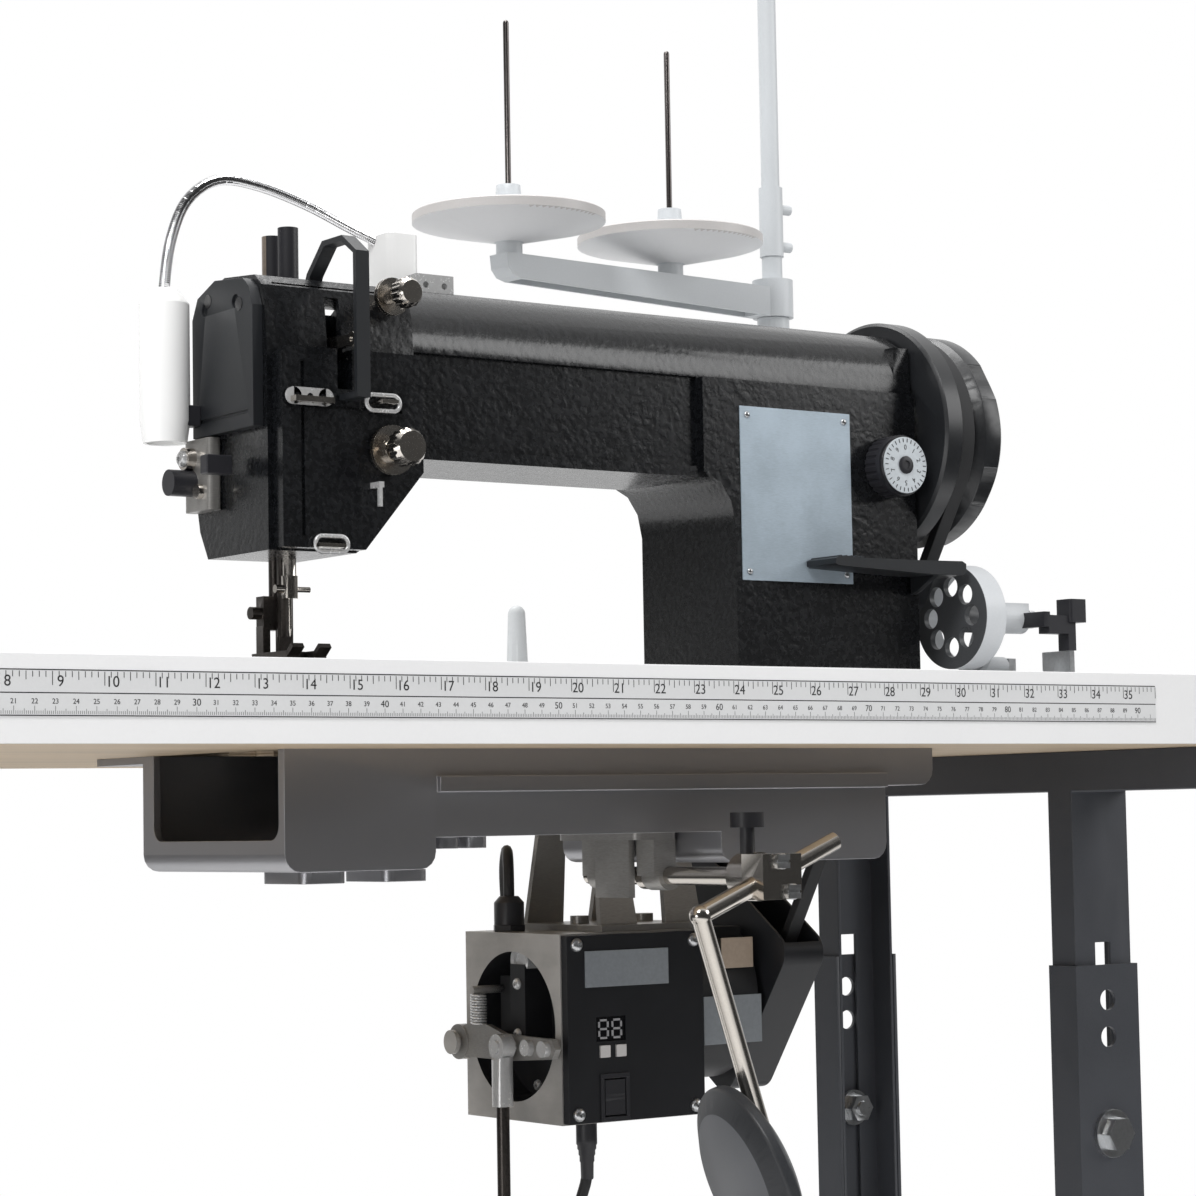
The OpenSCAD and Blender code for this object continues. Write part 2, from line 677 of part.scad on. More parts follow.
module rocker_switch() {
  color("#0e0f10") on_table() translate([box_x0 + 35, box_y0 - panel_t + 3, box_mid - 42]) {
    rod_x([-9, 0, 0], 1.5, 18);
    difference() {
      span([-7.4, -3.6, -10.6], [7.4, 1.4, 10.6]);
      translate([-8, -3.7, 0]) rotate([11, 0, 0]) translate([0, -6, -2]) cube([16, 6, 16]);
      translate([-8, -3.7, 0]) rotate([-11, 0, 0]) translate([0, -6, -14]) cube([16, 6, 16]);
    }
  }
}
module cable_glands() {
  color("#1b1c1e") on_table() {
    translate([box_x0 + 16, box_y1 - 26, box_top]) {
      translate([0, 0, 0]) cylinder(r = 11, h = 4, $fn = 6);
      rod_z([0, 0, 4], 9.5, 14);
      difference() {
        translate([0, 0, 18]) cylinder(r1 = 9.5, r2 = 6, h = 4, $fn = 48);
        rod_z([0, 0, 17], 3.5, 6);
      }
    }
    rod_z([box_x0 + 36, box_y0 + 26, box_top - box_h - 12], 6.5, 12);
  }
}
function motor_cable_points() = [
  [box_x0 + 16, box_y1 - 26, table_h + box_top + 18],
  [box_x0 + 16, box_y1 - 26, table_h + box_top + 34],
  [box_x0 + 19, box_y1 - 21, table_h + box_top + 47],
  [box_x0 + 26, box_y1 - 9, table_h + box_top + 50],
  [box_x0 + 33, box_y1 + 4, table_h + box_top + 38],
  [box_x0 + 39, box_y1 + 11, table_h + box_top + 14],
  [box_x0 + 47, box_y1 + 14, table_h + box_top - 12],
  [box_x0 + 69, box_y1 + 15, table_h + box_top - 34],
  [box_x0 + 95, box_y1 + 15, table_h - motor_drop],
  [box_x1 + 11, box_y1 + 12, table_h - motor_drop],
  [box_x1 + 18, box_y1 + 7, table_h - motor_drop],
  [box_x1 + 18, motor_y + motor_r, table_h - motor_drop]
];
module motor_cable() {
  color("#1d1e20") sweep(smooth(motor_cable_points(), 4), 3.5, 10, [1, 0, 0]);
}
module motor_pulley() {
  color("#b5b7ba") on_table() {
    rod_x([box_x1 + 12, motor_y, -motor_drop], shaft_r, belt_x - box_x1);
    translate([belt_x - 10, motor_y, -motor_drop]) rotate([0, 90, 0]) rotate_extrude($fn = 64)
      polygon([
        [0, 0], [pulley_r + 9, 0], [pulley_r + 9, 3], [pulley_r, 4.5], [pulley_r, 15.5],
        [pulley_r + 9, 17], [pulley_r + 9, 20], [0, 20]
      ]);
  }
}
// The guard's outline in Y and Z, turned to the belt's run
module guard_outline(grow) {
  translate([motor_y, -motor_drop]) rotate(35)
    round_rect([-46 - grow, -47 - grow], [64 + grow, 68 + grow], 14);
}
module belt_guard() {
  color("#141517") on_table() difference() {
    along_x(guard_x0, guard_x0 + guard_w) guard_outline(2);
    along_x(guard_x0 + 2, guard_x0 + guard_w - 2) guard_outline(0);
    along_x(guard_x0 + 2, guard_x0 + guard_w - 2)
      translate([motor_y, -motor_drop]) rotate(35) translate([-40, 50]) square([96, 30]);
    rod_x([guard_x0 - 1, motor_y, -motor_drop], 12, 4);
  }
}
// The belt runs round the handwheel's groove and the motor pulley
module belt_outline(r1, r2) {
  hull() {
    translate([needle_y, shaft_z]) circle(r = r1, $fn = 72);
    translate([motor_y, -motor_drop]) circle(r = r2, $fn = 48);
  }
}
module v_belt() {
  color("#1a1a1b") on_table() along_x(belt_x - belt_w / 2, belt_x + belt_w / 2) difference() {
    belt_outline(belt_in + belt_t, belt_small + belt_t);
    belt_outline(belt_in, belt_small);
  }
}
module speed_lever() {
  color("#77787b") on_table() {
    difference() {
      union() {
        rod_x([lever_x, lever_y, lever_z], 11, 6);
        along_x(lever_x + 1, lever_x + 5) polygon([
          [lever_y, lever_z - 9], [lever_y, lever_z + 9], [motor_y + 34, lever_z + 12],
          [motor_y + 16, lever_z + 12], [rod_y + 10, lever_z + 7], [rod_y - 42, lever_z + 6], [rod_y - 46, lever_z],
          [rod_y - 42, lever_z - 6], [rod_y, lever_z - 9]
        ]);
      }
      rod_x([lever_x - 1, lever_y, lever_z], 4 + run_gap, 8);
    }
    rod_x([rod_x - 6, rod_y, lever_z], 4, lever_x + 1 - rod_x + 6);
    for (y = [-18, -36]) rod_x([lever_x - 3, rod_y + y, lever_z], 5, 4);
  }
}
module lever_spring() {
  z1 = box_mid + 22 - 2.5;
  z0 = lever_z + 12 + air;
  color("silver") on_table() difference() {
    rod_z([box_x0 - 8, motor_y + 26, z0], 5.5, z1 - z0);
    rod_z([box_x0 - 8, motor_y + 26, z0 - 1], 4, z1 - z0 + 2);
  }
}
module pitman_rod() {
  color("#55575a") {
    ring_x([rod_x - 4.5, rod_y, table_h + lever_z], 8, 4 + run_gap, 9);
    difference() {
      rod_z([rod_x, rod_y, treadle_z + 150], rod_r, table_h + lever_z - treadle_z - 157);
      rod_x([rod_x - 9, rod_y, table_h + lever_z], 7.9, 18);
    }
    difference() {
      rod_z([rod_x, rod_y, table_h + lever_z - 36], 6.5, 30);
      rod_z([rod_x, rod_y, table_h + lever_z - 37], rod_r, 32);
      rod_x([rod_x - 9, rod_y, table_h + lever_z], 7.9, 18);
    }
  }
}

// ---- knee lifter ----
module knee_bracket() {
  top = -pan_mid_drop;
  color("#a3a19d") on_table() difference() {
    union() {
      round_box([knee_px - 26, pan_y0 + 36, top - 4], [knee_px + 4, pan_y0 + 112, top], 6);
      for (y = [40, 92]) {
        span([knee_px - 11, pan_y0 + y, knee_z], [knee_px + 4, pan_y0 + y + 16, top - 4]);
        rod_y([knee_px, pan_y0 + y, knee_z], 8, 16);
      }
      span([knee_px - 15, pan_y0 + 58, knee_z - 12], [knee_px - 11, pan_y0 + 90, top - 4]);
    }
    rod_y([knee_px, pan_y0 + 30, knee_z], knee_r + run_gap, 100);
  }
}
module at_knee_clamp() {
  translate([knee_px, pan_y0 - 48, knee_z]) rotate([0, 68, 0]) children();
}
// Frame of the drop rod, with its Z along the rod from the bend
module at_knee_drop() {
  at_knee_clamp() translate([0, 0, -knee_reach]) rotate([0, 93.5, 0]) children();
}
module knee_lever() {
  y0 = pan_y0 - 56;
  color("#b9b6b0") on_table() {
    difference() {
      union() {
        rod_y([knee_px, y0 + 18, knee_z], knee_r, pan_y0 + 116 - y0 - 18);
        rod_y([knee_px, y0 + 16, knee_z], 13, 14);
        span([knee_px - 13, y0 - 2, knee_z - 12], [knee_px + 13, y0 + 16, knee_z + 12]);
        rod_y([knee_px, pan_y0 + 57, knee_z], 7.5, 6);
      }
      at_knee_clamp() rod_z([0, 0, -40], knee_r, 80);
    }
    at_knee_clamp() rod_z([0, 0, -knee_reach], knee_r, knee_reach + 48);
    at_knee_clamp() translate([0, 0, -knee_reach]) sphere(r = knee_r + 0.8, $fn = 32);
    at_knee_drop() rod_z([0, 0, 0], knee_r, 162);
    rod_z([knee_px - 4, y0 + 22, knee_z + 12], 4, 16);
    rod_z([knee_px - 4, y0 + 22, knee_z + 26], 9, 8);
  }
}
module knee_pad() {
  color("#232527") on_table()
    at_knee_drop() rotate([0, 0, 12.5]) translate([knee_r + air, 0, 140]) rotate([0, 90, 0]) {
      cylinder(r1 = knee_pad_r - 10, r2 = knee_pad_r, h = 5, $fn = 64);
      translate([0, 0, 5]) cylinder(r = knee_pad_r, h = 6, $fn = 64);
      translate([0, 0, 11]) cylinder(r1 = knee_pad_r, r2 = knee_pad_r - 12, h = 6, $fn = 64);
    }
}

// ---- head ----
module bed() {
  color("#1c1d20") on_table() difference() {
    union() {
      span([bed_x0, bed_y0, -bed_t], [bed_x1, bed_y1, 0]);
      for (x = [bed_x0 + 102, bed_x0 + 312, bed_x0 + 398])
        span([x, needle_y - 9, -hook_drop - 9], [x + 10, needle_y + 9, -bed_t]);
      for (x = hinge_xs) span([x - 6.5, bed_y1 - 8, -bed_t], [x + 6.5, hinge_y + 5, 0]);
      span([needle_x - 12, needle_y + 34, -27], [needle_x + 12, needle_y + 44, -bed_t]);
      for (y = [bed_y0 + 30, bed_y1 - 36]) span([bed_x0 + 30, y, -bed_t - 14], [bed_x1 - 30, y + 6, -bed_t]);
    }
    for (x = hinge_xs) rod_x([x - 8, hinge_y, hinge_z], 4 + run_gap, 16);
    rod_y([needle_x, needle_y + 30, -19], feed_bar_r + run_gap, 16);
    rod_x([bed_x0, needle_y, -hook_drop], hook_shaft_r + run_gap, bed_l);
    span([needle_x - 20, needle_y - 21, -3], [needle_x + 20, needle_y + 29, 1]);
    span([needle_x - 17, needle_y - 18, -bed_t - 1], [needle_x + 17, needle_y + 26, 1]);
    span([bed_x0 + 2, needle_y - 21, -3], [needle_x - 20 + eps, needle_y + 29, 1]);
    span([needle_x - 42, needle_y - 16, -bed_t - 1], [needle_x - 16, needle_y + 24, 1]);
    span([col_x0 + 30, needle_y - 26, -bed_t - 1], [col_x0 + 56, needle_y + 26, 1]);
  }
}
module needle_plate() {
  color("silver") on_table() difference() {
    span([needle_x - 19.9, needle_y - 20.9, -3 + eps], [needle_x + 19.9, needle_y + 28.9, 0.2]);
    span([needle_x - 8.4, needle_y - 14, -4], [needle_x - 3.6, needle_y + 22, 1]);
    span([needle_x + 3.6, needle_y - 14, -4], [needle_x + 8.4, needle_y + 22, 1]);
    span([needle_x - 3, needle_y - 7, -4], [needle_x + 3, needle_y + 16, 1]);
    for (y = [-18, 26]) rod_z([needle_x + 14, needle_y + y, -0.8], 2.6, 2);
  }
}
module feed_dog() {
  color("#a9abad") on_table() {
    for (x = [-8, 4]) difference() {
      span([needle_x + x, needle_y - 10.5, -12], [needle_x + x + 4, needle_y + 18.5, -0.2]);
      for (i = [0:8]) span([needle_x + x - 1, needle_y - 8.5 + i * 3, -1], [needle_x + x + 5, needle_y - 7 + i * 3, 0]);
    }
    difference() {
      union() {
        span([needle_x - 2.6, needle_y - 4.8, -12], [needle_x + 2.6, needle_y + 12.2, -0.4]);
        span([needle_x - 8, needle_y - 9, -14], [needle_x + 8, needle_y + 16, -12]);
      }
      for (s = [-1, 1]) rod_z([needle_x, needle_y + s * 2.1, -15], 1.7, 16);
      span([needle_x - 1.7, needle_y - 2.1, -15], [needle_x + 1.7, needle_y + 2.1, 1]);
    }
    span([needle_x - 3, needle_y + 10, -20], [needle_x + 3, needle_y + 15.5, -13]);
    rod_y([needle_x, needle_y + 13, -19], feed_bar_r, 36);
  }
}
module slide_plate() {
  color("silver") on_table() difference() {
    span([needle_x - 20 - 24, needle_y - 20.9, -3 + eps], [needle_x - 20.1, needle_y + 28.9, 0.2]);
    rod_z([needle_x - 38, needle_y + 4, -0.6], 5, 2);
  }
}
module rotary_hook() {
  color("silver") on_table() {
    difference() {
      union() {
        rod_x([needle_x + 17, needle_y, -hook_drop], 20, 5);
        rod_x([needle_x + 7, needle_y, -hook_drop], 20, 10);
      }
      rod_x([needle_x + 6, needle_y, -hook_drop], 17, 9);
      span([needle_x + 6, needle_y + 8, -hook_drop + 8], [needle_x + 14, needle_y + 22, -hook_drop + 22]);
    }
    rod_x([needle_x + 8.5, needle_y, -hook_drop], 14, 7);
    rod_x([needle_x + 10, needle_y, -hook_drop], hook_shaft_r, col_x0 + 103 - needle_x - 20);
    rod_x([needle_x + 22, needle_y, -hook_drop], 10, 6);
    rod_x([col_x0 + 36, needle_y, -hook_drop], hook_wheel_r, 14);
  }
}
// The two toothed wheels' outlines, one on the main shaft and one on the hook shaft
module belt_wheels(grow) {
  translate([needle_y, shaft_z]) circle(r = 2 * hook_wheel_r + grow, $fn = 64);
  translate([needle_y, -hook_drop]) circle(r = hook_wheel_r + grow, $fn = 64);
}
module timing_belt() {
  color("#202122") on_table() along_x(col_x0 + 38, col_x0 + 48) difference() {
    hull() belt_wheels(2.2);
    hull() belt_wheels(0.2);
  }
}
module main_shaft() {
  color("#c8cacc") on_table() {
    rod_x([needle_x + 16, needle_y, shaft_z], shaft_r, wheel_x1 - needle_x - 20);
    rod_x([col_x0 + 36, needle_y, shaft_z], 2 * hook_wheel_r, 14);
    rod_x([needle_x + 7, needle_y, shaft_z], 15, 12);
    rod_x([needle_x + 4.2, needle_y + 9, shaft_z], 3, 4);
  }
}
module handwheel() {
  color("#16171a") on_table() difference() {
    translate([drum_x, needle_y, shaft_z]) rotate([0, 90, 0]) rotate_extrude($fn = 128) polygon([
      [shaft_r + run_gap, 4], [40, 4], [46, 0.5], [drum_r - 2, 0.5], [drum_r, 2],
      [drum_r, drum_w - 2], [drum_r - 2, drum_w], [groove_r + 5, drum_w], [groove_r, drum_w + 3],
      [groove_r, drum_w + groove_w - 3], [groove_r + 3, drum_w + groove_w],
      [rim_r - 4, drum_w + groove_w], [rim_r, drum_w + groove_w + 4],
      [rim_r, drum_w + groove_w + rim_w - 6], [rim_r - 6, drum_w + groove_w + rim_w],
      [rim_r - 16, drum_w + groove_w + rim_w], [rim_r - 22, drum_w + groove_w + 12],
      [22, drum_w + groove_w + 9], [17, drum_w + groove_w + 16], [shaft_r + run_gap, drum_w + groove_w + 16]
    ]);
    for (i = [0:5]) translate([drum_x, needle_y, shaft_z]) rotate([i * 60, 0, 0])
      rod_x([drum_w + groove_w + 5, 0, rim_r + 14], 20, 20);
  }
}
// The outline of the head's housing seen from its left end
module head_side() {
  polygon([
    [col_y0, 62], [col_y0, 170], [col_y0 + 2, 190], [col_y0 + 5, 201], [col_y0 + 12, 207],
    [col_y0 + 44, arm_top], [needle_y + 21, 204], [needle_y + 30, 199], [needle_y + 33, 192],
    [needle_y + 33, 100], [needle_y + 28, 78], [needle_y + 19, 62]
  ]);
}
// The outline of the head's housing seen from the front
module head_front() {
  polygon([
    [head_x0, head_low], [head_x0 + 52, head_low], [head_x0 + 58, head_low + 4],
    [head_x1 - 4, 101], [head_x1, 110], [head_x1, arm_top + 2], [head_x0, arm_top + 2]
  ]);
}
module arm_side(g) {
  polygon([
    [arm_y0 + g, arm_low - 3 + g], [arm_y0 + g, 178], [arm_y0 + 3 + g, 192 - g], [arm_y0 + 10 + g, 202 - g],
    [arm_y0 + 24, arm_top - g], [needle_y + 21, arm_top - g], [arm_y1 - 6 - g, 205 - g],
    [arm_y1 - g, 194], [arm_y1 - g, arm_low - 3 + g]
  ]);
}
module column_front(g) {
  polygon([
    [col_x0 + g, g], [col_x0 + g, arm_low - 30], [col_x0 - 3 + g, arm_low - 16], [col_x0 - 10 + g, arm_low - 6],
    [col_x0 - 22 + g, arm_low + g], [col_x0 - 22 + g, 172 - g], [col_x1 - g, 172 - g], [col_x1 - g, g]
  ]);
}
module head_housing() {
  difference() {
    intersection() {
      along_x(head_x0, head_x1) head_side();
      along_y(col_y0 - 1, needle_y + 40) head_front();
    }
    intersection() {
      span([head_x0 + cast_wall, col_y0 + 6, head_low + 12], [head_x1 - 8, needle_y + 27, 203]);
      along_y(col_y0 - 1, needle_y + 40) polygon([
        [head_x0, head_low + 12], [needle_x + 13, head_low + 12], [needle_x + 13, 92],
        [head_x1 - 8, 118], [head_x1 - 8, arm_top], [head_x0, arm_top]
      ]);
    }
  }
  along_y(panel_y, col_y0 + eps) polygon([
    [head_x0 + 3, head_low + 1], [head_x0 + 52, head_low + 1], [head_x1 - 1, 106],
    [head_x1 - 1, 164], [head_x1 - 5, 168], [head_x0 + 7, 168], [head_x0 + 3, 164]
  ]);
}
module arm_casting() {
  color("#1c1d20") on_table() difference() {
    union() {
      head_housing();
      difference() {
        along_x(head_x1 - eps, col_x1) arm_side(0);
        along_x(head_x1 + 2, col_x0 - 6) arm_side(cast_wall);
        span([head_x1 - 2, arm_y0 - 1, 121], [col_x0 - 24, arm_y0 + 2.5, 172]);
      }
      difference() {
        along_y(col_y0, col_y1) column_front(0);
        span([col_x0 + cast_wall, col_y0 + cast_wall, -1], [col_x1 - cast_wall, col_y1 - cast_wall, 168]);
        along_x(head_x1, col_x0 - 6) arm_side(cast_wall);
      }
      span([col_x1 - 12, arm_y0 + 1, 120], [col_x1, arm_y1 - 1, 200]);
    }
    rod_x([needle_x + 10, needle_y, shaft_z], shaft_r + run_gap, wheel_x1);
    span([col_x0 + cast_wall, arm_y0 + cast_wall, 100], [col_x1 - cast_wall, arm_y1 - cast_wall, 188]);
    span([col_x0 + cast_wall, arm_y0 + 18, 187], [col_x1 - cast_wall, arm_y1 - 13, 202]);
    rod_y([head_x1 - 22, panel_y - 1, lower_tension_z], tension_stud_r, 4);
    rod_y([head_x1 - 16, col_y0 - 1, upper_tension_z], tension_stud_r, 13);
    rod_x([head_x0 + 1, col_y0 + 29, 172], take_up_pin_r + run_gap, 8);
    rod_z([needle_x, needle_y, head_low - 1], needle_bar_r + run_gap, 15);
    rod_z([needle_x, needle_y - 2, arm_top - 12], fitting_r, 14);
    rod_z([needle_x, walking_y, head_low - 1], walking_bar_r + run_gap, 15);
    rod_z([needle_x, presser_y, head_low - 1], needle_bar_r + run_gap, 15);
    rod_z([needle_x, presser_y, arm_top - 12], fitting_r, 14);
    rod_x([col_x1 - 12, col_y0 + 12, 48], 5 + run_gap, 14);
    rod_y([needle_x + 10, needle_y + 21, 96], 5 + run_gap, 14);
    span([needle_x - 2, panel_y - 1, 147], [needle_x + 7, col_y0 + 7, 197]);
    rod_y([col_x1 - 22, panel_y, 127], 6 + run_gap, 30);
    span([head_x0 + 12, panel_y - 1, 136.4], [head_x1 - 14, panel_y + 1.2, 138]);
    span([head_x0 + 14, panel_y - 1, 70], [head_x0 + 16, panel_y + 1.4, 160]);
  }
}
module face_cover() {
  color("#26282b") on_table() difference() {
    translate([head_x0 - 6, 0, 0]) intersection() {
      along_x(0, 6) polygon([
        [col_y0 + 4, 127], [col_y0 + 4, 190], [col_y0 + 8, 200], [col_y0 + 14, 205],
        [col_y0 + 44, arm_top - 2], [needle_y + 18, 201], [needle_y + 24, 190], [needle_y + 24, 127]
      ]);
      span([0, col_y0, 120], [6, needle_y + 40, 210]);
    }
    for (y = [col_y0 + 22, needle_y + 10]) rod_x([head_x0 - 7, y, 194], 3.6, 3);
    span([head_x0 - 7, col_y0 + 10, 134], [head_x0 - 4.8, needle_y + 18, 136]);
  }
}
module needle_bar() {
  color("#c9cbcd") on_table() {
    rod_z([needle_x, needle_y, 44], needle_bar_r, 140);
    difference() {
      rod_z([needle_x, needle_y, 42], 4.4, 12);
      rod_z([needle_x, needle_y, 41], 1.2, 6);
    }
    rod_z([needle_x, needle_y, 26], 1.1, 22);
    translate([needle_x, needle_y, 22]) cylinder(r1 = 0.3, r2 = 0.8, h = 4.1, $fn = 24);
    rod_x([needle_x - 9, needle_y, 47], 2.2, 6);
    rod_x([needle_x + 4, needle_y, 47], 1.5, 8);
  }
}
module walking_foot() {
  color("#2a2622") on_table() {
    rod_z([needle_x, walking_y, 22], walking_bar_r, 70);
    difference() {
      span([needle_x - 3.4, needle_y - 9, foot_lift], [needle_x + 3.4, walking_y + 3, foot_lift + 4]);
      rod_z([needle_x, needle_y, foot_lift - 1], 1.7, 6);
    }
    span([needle_x - 2.8, walking_y - 2, foot_lift + 3], [needle_x + 2.8, walking_y + 3, 30]);
  }
}
module presser_foot() {
  color("#2a2622") on_table() {
    rod_z([needle_x, presser_y, 26], needle_bar_r, 166);
    span([needle_x - 9, presser_y - 3, 26], [needle_x + 9, presser_y + 5, 44]);
    for (s = [-1, 1]) {
      span(
        [needle_x + s * 8.2 - 3.8, needle_y - 17, foot_lift],
        [needle_x + s * 8.2 + 3.8, presser_y + 5, foot_lift + 4]
      );
      span([needle_x + s * 7 - 2.2, presser_y - 2.6, foot_lift + 3], [needle_x + s * 7 + 2.2, presser_y + 5, 28]);
      translate([needle_x + s * 8.2 - 3.6, needle_y - 16.6, foot_lift + 0.6]) rotate([-38, 0, 0])
        translate([0, -8, 0]) cube([7.2, 8.9, 2.8]);
    }
    rod_x([needle_x - 15, presser_y + 1, 35], 3.4, 6);
  }
}
module foot_lifter() {
  y = needle_y + 33;
  color("#b9bbbd") on_table() translate([needle_x + 10, 0, 96]) rotate([0, -45, 0]) {
    rod_y([0, y - 10, 0], 5, 19);
    hull() {
      rod_y([0, y + 3, 0], 7, 6);
      rod_y([20, y + 3, -12], 5, 6);
    }
    hull() {
      rod_y([20, y + 3, -12], 5, 6);
      rod_y([30, y + 3, -36], 4, 6);
    }
  }
}
module take_up_lever() {
  color("#c9cbcd") on_table() translate([needle_x + 2.5, col_y0 + 29, 172]) {
    rod_x([-2.5, 0, 0], 8, 5);
    rod_x([head_x0 + 2 - needle_x - 2.5, 0, 0], take_up_pin_r, 38);
    difference() {
      union() {
        along_x(-1.5, 1.5) polygon([[0, -6], [0, 6], [-30, 3.4], [-48, 2.6], [-48, -2.6], [-30, -3.4]]);
        rod_x([-1.5, -48, 0], 4, 3);
      }
      rod_x([-2, -48, 0], 1.6, 4);
    }
  }
}
// A round tension: a stud, two discs, a spring and a stop
module tension_post(x, y, z, r, root) {
  rod_y([x, y - 20, z], tension_stud_r, 20 + root);
  for (g = [2.2, 4.4]) rod_y([x, y - g, z], r, 1.2);
  rod_y([x, y - 8, z], r - 6, 4);
}
module thread_guides() {
  color("#c2c4c6") on_table() {
    tension_post(head_x1 - 22, panel_y, lower_tension_z, 13, 3);
    tension_post(head_x1 - 16, panel_y + 8, upper_tension_z, 10, 12);
    along_x(needle_x - 1, needle_x + 7) difference() {
      polygon([
        [col_y0 + 24, 208.125], [col_y0 + 22, 212], [col_y0 + 6, 227], [col_y0 - 14, 227], [col_y0 - 28, 217],
        [col_y0 - 28, 141], [panel_y, 141], [panel_y, 144], [col_y0 - 25, 144],
        [col_y0 - 25, 216], [col_y0 - 13, 224], [col_y0 + 4, 224], [col_y0 + 18.5, 210.5], [col_y0 + 20, 207.75]
      ]);
      square(1);
    }
    difference() {
      span([needle_x - 32, panel_y - 9, 138], [needle_x - 9, panel_y, 141]);
      for (x = [-28, -20.5, -13]) rod_z([needle_x + x, panel_y - 5, 137], 1.6, 5);
    }
    for (x = [20, 28]) rod_y([needle_x + x, panel_y - 9, 141], 1.1, 9);
    span([needle_x + 19, panel_y - 10, 140], [needle_x + 29, panel_y - 8, 142]);
    difference() {
      span([needle_x - 18, panel_y - 7, 64], [needle_x - 2, panel_y, 66]);
      span([needle_x - 15, panel_y - 5, 63], [needle_x - 5, panel_y - 3.4, 67]);
    }
    difference() {
      span([70, arm_y0 + 34, arm_top], [94, arm_y0 + 44, arm_top + 12]);
      for (x = [76, 88]) rod_y([x, arm_y0 + 33, arm_top + 6], 1.8, 12);
    }
    span([head_x1 - 34, panel_y - 9, 96], [head_x1 - 31, panel_y, 99]);
    span([head_x1 - 34, panel_y - 9, 86], [head_x1 - 32, panel_y - 7, 99]);
  }
}
module tension_knob(p, r) {
  translate(p) rotate([90, 0, 0]) difference() {
    union() {
      cylinder(r = r, h = 6, $fn = 48);
      translate([0, 0, 6]) cylinder(r1 = r, r2 = r - 2, h = 3, $fn = 48);
    }
    translate([0, 0, -1]) cylinder(r = tension_stud_r + run_gap, h = 8, $fn = 48);
    for (i = [0:15]) rotate([0, 0, i * 22.5]) translate([r + 0.6, 0, -1]) cylinder(r = 1.4, h = 12, $fn = 24);
  }
}
module tension_knob_main() {
  color("#c9cbcd") on_table() tension_knob([head_x1 - 22, panel_y - 14, lower_tension_z], 10);
}
module tension_knob_upper() {
  color("#c9cbcd") on_table() tension_knob([head_x1 - 16, panel_y - 6, upper_tension_z], 8);
}
module stitch_dial() {
  color("#d3d5d7") on_table() translate([col_x1 - 22, col_y0, 127]) rotate([90, 0, 0]) {
    translate([0, 0, -18]) cylinder(r = 6, h = 19, $fn = 48);
    difference() {
      translate([0, 0, air]) cylinder(r = 18, h = 13, $fn = 64);
      for (i = [0:23]) rotate([0, 0, i * 15]) translate([18.9, 0, -1]) cylinder(r = 1.5, h = 11, $fn = 24);
    }
    translate([0, 0, 13]) cylinder(r1 = 16.5, r2 = 15, h = 3, $fn = 64);
  }
}
module reverse_lever() {
  color("#303236") on_table() {
    along_y(col_y0 - 28, col_y0 - 2) polygon([
      [col_x0 + 50, 66], [col_x0 + 52, 65], [col_x1 - 24, 62.5], [col_x1 + 10, 62],
      [col_x1 + 13, 64], [col_x1 + 13, 69], [col_x1 + 10, 70.5], [col_x1 - 24, 70], [col_x0 + 52, 70], [col_x0 + 50, 69]
    ]);
    for (i = [0:4]) rod_y([col_x0 + 54 + i * 4, col_y0 - 28, 70], 1, 26);
    along_x(col_x1 - 8, col_x1 - 4) polygon([
      [col_y0 - 26, 64], [col_y0 - 2, 64], [col_y0 - 2, 52], [col_y0 - 8, 54]
    ]);
    rod_x([col_x1 - 10, col_y0 + 12, 48], 5, 14);
    along_x(col_x1 + 1, col_x1 + 9) polygon([
      [col_y0 - 4, 62], [col_y0 - 4, 72], [col_y0 + 12, 58], [col_y0 + 19, 48], [col_y0 + 12, 40], [col_y0 + 5, 47]
    ]);
  }
}
// Bush, regulator screw, side plate and knobs fixed on the head's left end
module presser_fittings() {
  x = head_x0 - 8;
  color("#8f8b86") on_table() {
    rod_z([needle_x, presser_y, arm_top - 6], fitting_r, 34);
    rod_z([needle_x, needle_y - 2, arm_top - 6], fitting_r, 36);
    round_box([x, needle_y + 3, 88], [head_x0, needle_y + 31, 126], 3);
    rod_x([x - 5, needle_y + 22, 116], 6, 6);
    rod_x([x - 3, needle_y + 12, 98], 4, 4);
    rod_x([x - 14, needle_y + 22, 103], 7, 15);
  }
}
module lamp() {
  pts = [
    [lamp_x, lamp_y, arm_top + 30], [52, lamp_y + 6, 250], [24, lamp_y + 10, 262], [-6, lamp_y + 12, 270],
    [-30, lamp_y + 12, 270], [-50, lamp_y + 9, 256], [-62, lamp_y + 5, 232], [-67, lamp_y + 3, 205]
  ];
  color("white") on_table() {
    rod_z([lamp_x, lamp_y, arm_top + air], 9, 4);
    round_box([lamp_x - 10, lamp_y - 13, arm_top + air + 3], [lamp_x + 10, lamp_y + 12, arm_top + 37], 4);
    sweep(smooth(pts, 5), 2.8, 12, [0, 1, 0]);
    translate([-67, lamp_y + 3, 0]) difference() {
      union() {
        rod_z([0, 0, 136], 13.3, 62);
        translate([0, 0, 198]) cylinder(r1 = 13.3, r2 = 7, h = 8, $fn = 48);
        translate([0, 0, 124]) cylinder(r1 = 11.6, r2 = 13.3, h = 12, $fn = 48);
      }
      rod_z([0, 0, 123], 10, 12);
    }
  }
}

